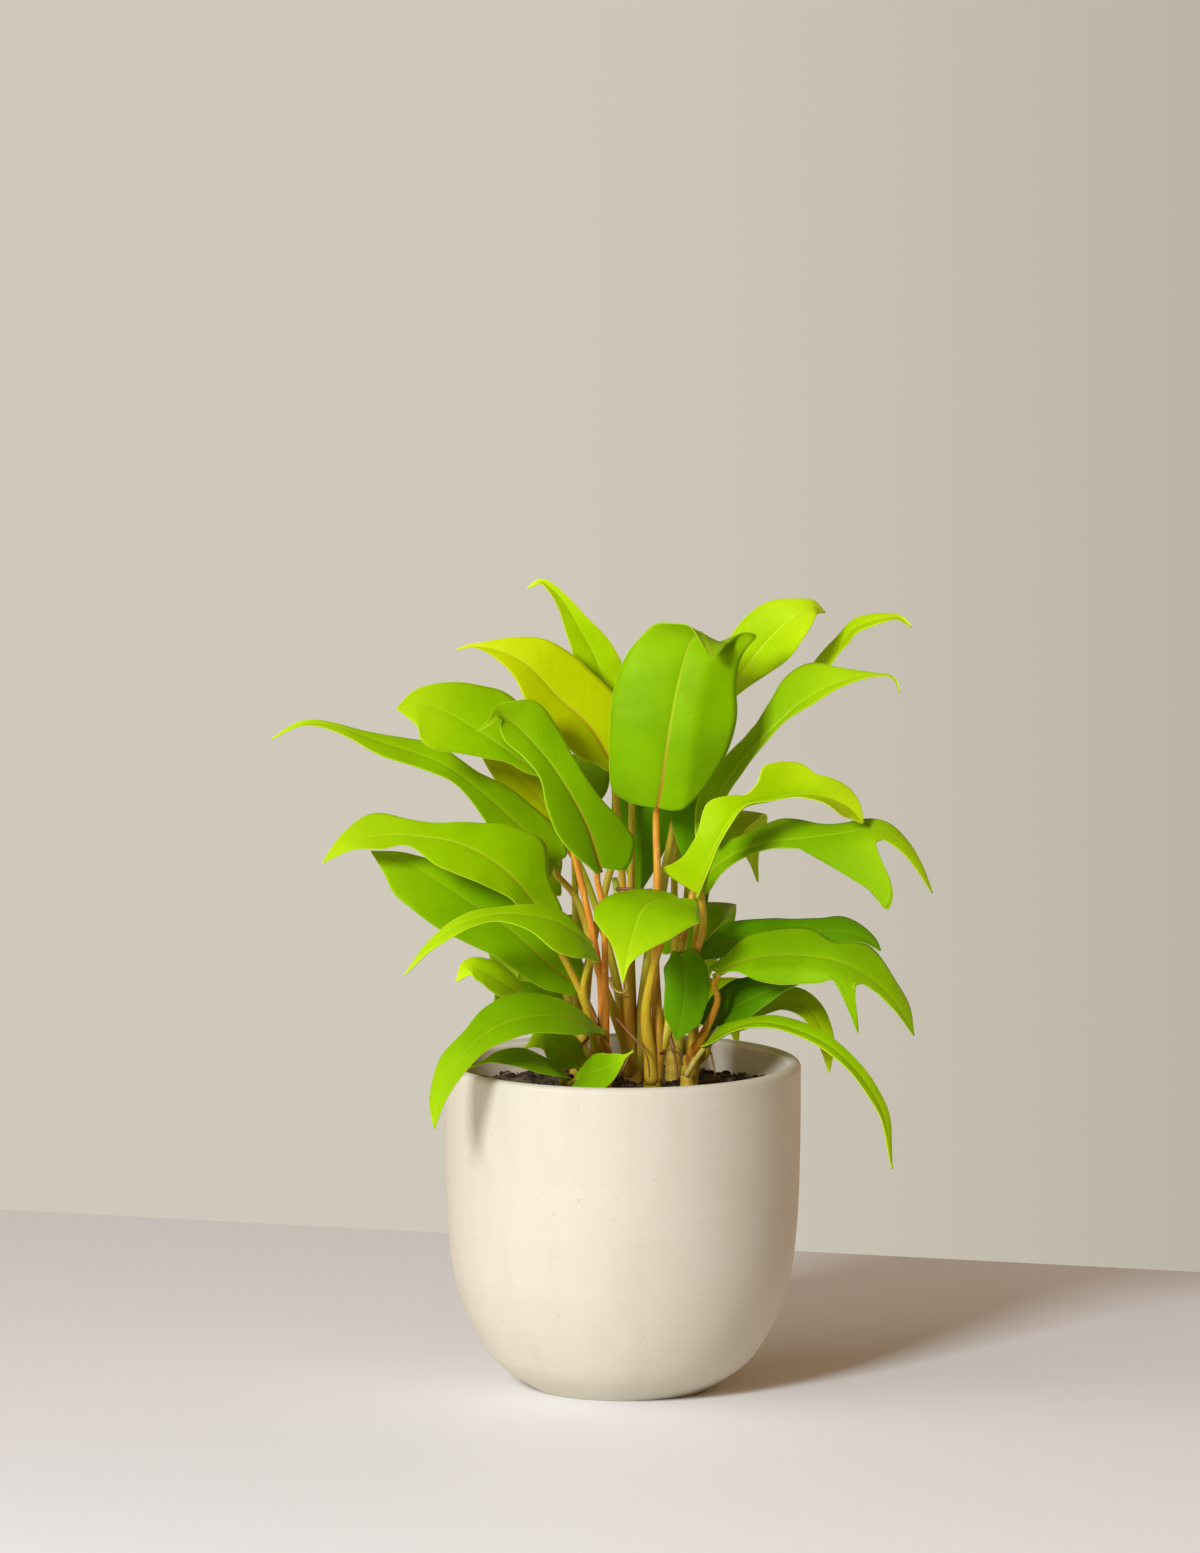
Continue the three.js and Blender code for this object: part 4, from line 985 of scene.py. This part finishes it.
# Fades along the leaf, as shares of its length, and across it, in millimetres
leafFades = {
    "base": (0, 0.6, 1, 0),
    "tip": (0.5, 1, 0, 0.75),
    "ribEnd": (0, 0.5),
    "ribWidth": (0, 1, 1.1, 0.3),
    "rib": (0.4, 1, 0.85, 0),  # in widths of the rib
    "veinStart": (0.8, 2.5),
    "veinEnd": (0.5, 5),
    "veinCrest": (0.86, 0.99),  # on the way from the middle between two veins to a vein
    "rim": (0.1, 0.5, 0.8, 0),
}
leafFinish = {
    "bump": (0.25, 0.12),
    "shader": {
        "Subsurface Weight": 0.08,
        "Subsurface Radius": (0.9, 1.0, 0.2),
        "Subsurface Scale": 0.0008,
        "Specular IOR Level": 0.22,
        "Specular Tint": (0.8, 1.0, 0.15, 1.0),
    },
}


def leafGroup(look, fades):
    tree, given, result = newGroup("leafTissue", leafLooks["lime"])
    spot = place(tree)
    along, outward, rimGap, veinRun = attributes(tree, "along", "outward", "rimGap", "veinRun")
    underside, ribTone, shadeTone = attributes(tree, "underside", "ribTone", "shadeTone")
    deepBase = times(tree, ramp(tree, along, *fades["base"]), given["Base Depth"])
    deep = plus(tree, times(tree, patches(tree, spot, look["cloud"]), look["cloudDepth"]), deepBase)
    # Mottle and the base darken the blade toward the Shade Color; shadeTone adds painted shade there
    blade = blend(tree, plus(tree, deep, shadeTone), given["Blade Color"], given["Shade Color"])
    blade = blend(tree, ramp(tree, along, *fades["tip"]), blade, given["Tip Color"])
    wander = compute(tree, "SUBTRACT", grain(tree, spot, look["wander"]), 0.5)
    cell = compute(tree, "FRACT", plus(tree, veinRun, times(tree, wander, look["veinWander"])))
    crest = compute(tree, "ABSOLUTE", compute(tree, "SUBTRACT", times(tree, cell, 2), 1))
    inside = times(tree, ramp(tree, outward, *fades["veinStart"]), ramp(tree, rimGap, *fades["veinEnd"]))
    vein = times(tree, ramp(tree, crest, *fades["veinCrest"]), inside)
    blade = blend(tree, times(tree, vein, given["Vein Strength"]), blade, given["Vein Color"])
    under = blend(tree, look["underside"], blade, given["Underside Color"])
    blade = blend(tree, underside, blade, under)
    ribPlace = compute(tree, "DIVIDE", outward, ramp(tree, along, *fades["ribWidth"]))
    ribShare = times(tree, ramp(tree, ribPlace, *fades["rib"]), ribTone)
    ribColor = blend(tree, ramp(tree, along, *fades["ribEnd"]), given["Rib Color"], given["Rib End Color"])
    blade = blend(tree, ribShare, blade, ribColor)
    blade = blend(tree, ramp(tree, rimGap, *fades["rim"]), blade, given["Margin Color"])
    feed(tree, blade, result["Color"])
    gloss = patches(tree, spot, look["gloss"])
    feed(tree, plus(tree, gloss, times(tree, underside, look["undersideRoughness"])), result["Roughness"])
    cells = times(tree, grain(tree, spot, look["cells"]), look["cellHeight"])
    feed(tree, compute(tree, "SUBTRACT", cells, vein), result["Height"])
    return tree


tissue = leafGroup(leafGrain, leafFades)
leafMaterials = {tone: newMaterial("leaf " + tone, tissue, look, leafFinish)
                 for tone, look in leafLooks.items()}
# What the thick rib's vertices hold in place of a blade's measures
ribValues = {"outward": 0.0, "rimGap": 9.0, "veinRun": 0.5, "underside": 0.5}


def addLeaf(leaf):
    rib = Rib(leaf)
    vertices, faces, values = bladeBody(leaf, rib, bladeShape)
    ribVertices, ribFaces, along = midrib(rib, stalkRadii[leaf["crown"]], midribShape)
    merge(vertices, faces, ribVertices, ribFaces)
    values["along"] += along
    for label, value in ribValues.items():
        values[label] += [value] * len(ribVertices)
    for label in ("ribTone", "shadeTone"):
        values[label] = [leaf[label]] * len(vertices)
    addPiece(leaf["name"] + "_blade", vertices, faces, leafMaterials[leaf["tone"]],
             (leaf["name"],), values)
    return rib


ribs = {leaf["name"]: addLeaf(leaf) for leaf in leaves}
print("leaves ready", len(leaves))

# Stalks: one clump per crown, on a short stem with rings
stalkShape = {
    "sides": 14,
    "step": 3.0,
    "leastSteps": 10,
    "foot": 1.6,  # times the radius, where the stalk sheathes the stem
    "footReach": 60,
    "girth": 1.15,  # times the radius, at the start
    "neck": 0.85,
    "knot": 0.04,
    "knotSize": 9,
    "bottom": 143,
    "leaving": (150, 154),  # height where a straight and a bent stalk leave the stem
    "lean": 2.5,
    "lead": 7,  # the stretch under the blade
    "arrival": (0.8, 0.6),  # along the midrib and up to the blade
    "seat": (0.65, 0.15),  # times the radius, and millimetres, under the blade
    "overlap": 1.5,
}
stemShape = {
    "sides": 20,
    "steps": 40,
    "bottom": 125.3,
    "top": 155,
    "radii": (5.4, 3.2),
    "ringSpacing": 5.2,
    "ringHeight": 0.2,
    "ringPower": 6,
    "dome": 0.15,  # share of the height
    "tip": 0.15,  # times the radius
    "warmth": 0.45,
}
stalkLook = {
    "Green Color": "c4cc20",
    "Warm Color": "e08a24",
    "Foot Color": "c0a030",
    "Streak Color": "ecdc58",
}
stalkGrain = {
    "patch": {"scale": 55, "detail": 2},
    "streak": {"scale": 1100, "detail": 2, "stretch": (1, 1, 0.08), "fade": (0.5, 0.75, 0, 0.5)},
    "patchWarmth": 0.9,
    "foot": (0, 0.3, 0.6, 0),  # along the stalk
    "roughness": (-0.3, 0.3, 0.4, 0.55),  # in cool and in warm patches
}
stalkFinish = {
    "bump": (0.4, 0.3),
    "shader": {
        "Subsurface Weight": 0.12,
        "Subsurface Radius": (1.0, 0.6, 0.2),
        "Subsurface Scale": 0.0015,
        "Specular IOR Level": 0.4,
    },
}


def stalkGroup(look):
    tree, given, result = newGroup("stalkSkin", stalkLook)
    spot = place(tree)
    along, warmth = attributes(tree, "along", "warmth")
    patch = compute(tree, "SUBTRACT", grain(tree, spot, look["patch"]), 0.5)
    patch = times(tree, patch, look["patchWarmth"])
    warm = ramp(tree, plus(tree, warmth, patch), 0, 1)
    skin = blend(tree, warm, given["Green Color"], given["Warm Color"])
    skin = blend(tree, ramp(tree, along, *look["foot"]), skin, given["Foot Color"])
    streak = patches(tree, spot, look["streak"])
    feed(tree, blend(tree, streak, skin, given["Streak Color"]), result["Color"])
    feed(tree, ramp(tree, patch, *look["roughness"]), result["Roughness"])
    feed(tree, streak, result["Height"])
    return tree


stalkTissue = stalkGroup(stalkGrain)
stalkMaterial = newMaterial("stalk", stalkTissue, stalkLook, stalkFinish)


def stalkPath(leaf, rib, radius, shape):
    x, y = crowns[leaf["crown"]]
    spot, along, facing, _ = rib.frame(0)
    arrival = (along * shape["arrival"][0] + facing * shape["arrival"][1]).normalized()
    end = spot - facing * (radius * shape["seat"][0] + shape["seat"][1])
    before = end - arrival * shape["lead"]
    via = [Vector(v) for v in leaf["via"]]
    first = via[0] if via else before
    lean = Vector((first.x - x, first.y - y, 0))
    if lean.length > shape["lean"]:
        lean = lean.normalized() * shape["lean"]
    start = Vector((x + lean.x / 2, y + lean.y / 2, shape["bottom"]))
    leaving = Vector((x + lean.x, y + lean.y, shape["leaving"][bool(via)]))
    return Curve([start, leaving] + via + [before, end + along * shape["overlap"]])


def stalkTube(leaf, rib, shape):
    radius = stalkRadii[leaf["crown"]]
    path = stalkPath(leaf, rib, radius, shape)
    count = max(shape["leastSteps"], int(path.length / shape["step"]))
    shares = [k / count for k in range(count + 1)]
    radii = []
    for u in shares:
        reached = u * path.length
        foot = mix(shape["foot"], 1, smoothStep(reached / shape["footReach"]))
        spot = Vector((reached / shape["knotSize"], radius, len(leaf["name"])))
        knot = 1 + shape["knot"] * noise.noise(spot)
        radii.append(radius * foot * mix(shape["girth"], shape["neck"], u) * knot)
    points = [path.even(u) for u in shares]
    return *tube(points, radii, shape["sides"]), perRing(shares, shape["sides"])


def shortStem(crown, shape):
    points, radii = [], []
    for k in range(shape["steps"] + 1):
        u = k / shape["steps"]
        z = mix(shape["bottom"], shape["top"], u)
        ring = abs(sin(pi * z / shape["ringSpacing"])) ** shape["ringPower"]
        inDome = max(0.0, (u - 1 + shape["dome"]) / shape["dome"])
        end = sqrt(max(0.0, 1 - inDome ** 2))
        points.append(Vector((*crowns[crown], z)))
        radii.append((mix(*shape["radii"], u) + shape["ringHeight"] * ring) * max(end, shape["tip"]))
    return tube(points, radii, shape["sides"])


def addStalks(crown):
    vertices, faces = shortStem(crown, stemShape)
    along = [0.0] * len(vertices)
    warmth = [stemShape["warmth"]] * len(vertices)
    for leaf in leaves:
        if leaf["crown"] == crown:
            stalkVertices, stalkFaces, shares = stalkTube(leaf, ribs[leaf["name"]], stalkShape)
            merge(vertices, faces, stalkVertices, stalkFaces)
            along += shares
            warmth += [leaf["warmth"]] * len(stalkVertices)
    node = "stems_" + crown
    addPiece(node + "_stalks", vertices, faces, stalkMaterial, (node,),
             {"along": along, "warmth": warmth})


for crown in crowns:
    addStalks(crown)
print("stalks ready")

# Fine growth between the stalks: aerial roots, a spent stalk, a twig and dried sheaths
fineShape = {
    "sides": 8,
    "step": 1.2,
    "leastSteps": 8,
    "tip": 0.45,  # times the radius, at the far end
    "knot": 0.24,  # uneven girth, as a share of the radius
    "knotSize": 5,
    "warmth": 0.5,
}
fineColours = {
    "root": ("9a6a2c", "7c4018", "6a4420", "a88048"),
    "husk": ("c0c850", "c89848", "a89038", "e4dc90"),
    "fresh": ("c8dc50", "b8cc30", "a8b828", "e4ec90"),
}
fineGrowth = {
    "twig": ("root", 0.9, [(-3, -19, 236), (2, -21, 236.6), (8, -22, 236), (13.5, -21, 236.4)]),
    "sheath_tall": ("fresh", 3.1, [(3, 10, 205), (0, -6, 222), (-2, -15, 232), (-3.6, -18, 241)]),
    "loop_left": ("root", 0.55, [(-13, -14, 207), (-16, -16, 204), (-18, -18, 197), (-17.6, -18, 190),
                                 (-15.5, -17, 184), (-11, -14, 173), (-8, -9, 161), (-8, -6, 150)]),
    "husk_low": ("husk", 0.8, [(-6, -20, 195), (-4, -22, 190), (0, -22, 188), (2, -19, 190),
                               (1, -17, 194)]),
    "husk_high": ("root", 0.6, [(-5, -20, 191), (-2, -22, 187), (3, -21, 186)]),
    "root_front": ("root", 0.7, [(-3, -6, 174), (2, -12, 169), (8, -16, 163), (11.5, -18, 157),
                                 (12.5, -17, 148)]),
    "root_middle": ("root", 0.6, [(6, -10, 162), (3, -14, 157), (0, -15, 151), (-2, -14, 146.5)]),
    "root_orange": ("root", 1.1, [(22, -6, 165), (23.5, -8, 160), (25, -9, 152), (25.5, -9, 145)]),
    "root_arc": ("root", 0.7, [(17, -6, 157), (21, -11, 160), (26, -11, 158), (28, -8, 152)]),
    "spent_stalk": ("husk", 1.8, [(29, -3, 146), (34, -3, 154), (39, -4, 161), (44.5, -5, 170)]),
    "root_right": ("root", 0.6, [(35, 4, 160), (40, 1, 158), (42, -1, 152), (43, -1, 145.5)]),
    "root_left": ("root", 0.7, [(-15, -3, 165), (-20, -8, 160), (-24, -10, 153), (-25, -10, 145.5)]),
    "root_rear": ("root", 0.8, [(22, 44, 168), (15, 50, 162), (9, 53, 153), (7, 54, 145)]),
    "root_rear_left": ("root", 0.7, [(-23, 35, 165), (-29, 41, 160), (-33, 44, 152), (-34, 45, 145)]),
}


def addFineGrowth(name, material, radius, points, shape):
    path = Curve(points)
    count = max(shape["leastSteps"], int(path.length / shape["step"]))
    shares = [k / count for k in range(count + 1)]
    spots = [path.even(u) for u in shares]
    knots = [1 + shape["knot"] * noise.noise(spot / shape["knotSize"]) for spot in spots]
    radii = [radius * mix(1, shape["tip"], u) * knot for u, knot in zip(shares, knots)]
    vertices, faces = tube(spots, radii, shape["sides"])
    values = {"along": perRing(shares, shape["sides"]), "warmth": [shape["warmth"]] * len(vertices)}
    addPiece(name, vertices, faces, material, (), values)


fineMaterials = {}
for tone, colours in fineColours.items():
    look = dict(zip(stalkLook, colours))
    fineMaterials[tone] = newMaterial("fine " + tone, stalkTissue, look, stalkFinish)
for name, (tone, radius, points) in fineGrowth.items():
    addFineGrowth(name, fineMaterials[tone], radius, points, fineShape)
print("fine growth ready")

# Stage: a plain pale table top with its back edge behind the plant
stageShape = {
    "turn": -17.2,
    "left": -1500,
    "right": 1500,
    "front": -1500,
    "back": 378.6,
    "thickness": 30,
}
tableLook = {"color": "f8f8f8", "roughness": 0.7}


def addTable(shape, look):
    corners = [(shape[x], shape[y], z) for z in (-shape["thickness"], 0)
               for x, y in (("left", "front"), ("right", "front"), ("right", "back"), ("left", "back"))]
    turn = Matrix.Rotation(radians(shape["turn"]), 3, "Z")
    mesh = bpy.data.meshes.new("table")
    faces = [(3, 2, 1, 0), (4, 5, 6, 7), (0, 1, 5, 4), (1, 2, 6, 5), (2, 3, 7, 6), (3, 0, 4, 7)]
    mesh.from_pydata([turn @ Vector(c) * millimetre for c in corners], [], faces)
    material = bpy.data.materials.new("table")
    material.use_nodes = True
    shade = material.node_tree.nodes["Principled BSDF"]
    shade.inputs["Base Color"].default_value = paint(look["color"])
    shade.inputs["Roughness"].default_value = look["roughness"]
    mesh.materials.append(material)
    table = bpy.data.objects.new("table", mesh)
    scene.collection.objects.link(table)


# Room: a wall tone behind the table, darker to the right as painted shade, soft light from all round,
# and wide glows where a studio has its panels, each fading from its wide angle to its core, in degrees
wallLook = {"left": "d0c9bb", "right": "b1aa9b", "fade": (-0.01, 0.06)}
fillLight = {"color": "ffbc78", "strength": 0.118}
glows = {
    "left": {"from": (-2100, -800, 1350), "wide": 40, "core": 12, "color": "fff8f0", "strength": 0.95},
    "top": {"from": (-300, -200, 2200), "wide": 40, "core": 12, "color": "fff8f0", "strength": 0.38},
    "right": {"from": (1250, 1300, 260), "wide": 40, "core": 12, "color": "ffd8b0", "strength": 0.9},
}
keyLight = {
    "place": (-1224, -2351, 1430),
    "aim": (0, 0, 180),
    "size": 600,
    "power": 80,
    "color": "f2f8ff",
}


def scaled(look):
    return tuple(part * look["strength"] for part in paint(look["color"])[:3]) + (1.0,)


def setWorld():
    world = bpy.data.worlds.new("room")
    scene.world = world
    world.use_nodes = True
    tree = world.node_tree
    direction = tree.nodes.new("ShaderNodeTexCoord").outputs["Generated"]
    light = scaled(fillLight)
    for glow in glows.values():
        facing = tree.nodes.new("ShaderNodeVectorMath")
        facing.operation = "DOT_PRODUCT"
        feed(tree, direction, facing.inputs[0])
        facing.inputs[1].default_value = Vector(glow["from"]).normalized()
        wide, core = cos(radians(glow["wide"])), cos(radians(glow["core"]))
        light = blend(tree, ramp(tree, facing.outputs["Value"], wide, core), light, scaled(glow), "ADD")
    soft = tree.nodes["Background"]
    feed(tree, light, soft.inputs["Color"])
    wall = tree.nodes.new("ShaderNodeBackground")
    heading = tree.nodes.new("ShaderNodeSeparateXYZ")
    feed(tree, direction, heading.inputs[0])
    # painted shade: the wall seen behind the table darkens from its left colour to its right
    side = ramp(tree, heading.outputs["X"], *wallLook["fade"])
    feed(tree, blend(tree, side, paint(wallLook["left"]), paint(wallLook["right"])), wall.inputs["Color"])
    seen = tree.nodes.new("ShaderNodeLightPath")
    both = tree.nodes.new("ShaderNodeMixShader")
    feed(tree, seen.outputs["Is Camera Ray"], both.inputs[0])
    feed(tree, soft.outputs[0], both.inputs[1])
    feed(tree, wall.outputs[0], both.inputs[2])
    feed(tree, both.outputs[0], tree.nodes["World Output"].inputs["Surface"])


def addKeyLight(look):
    data = bpy.data.lights.new("key", "AREA")
    data.size = look["size"] * millimetre
    data.energy = look["power"]
    data.color = paint(look["color"])[:3]
    placeAimed("key", data, look)


addTable(stageShape, tableLook)
setWorld()
addKeyLight(keyLight)
scene.view_settings.view_transform = "Standard"
print("stage ready")
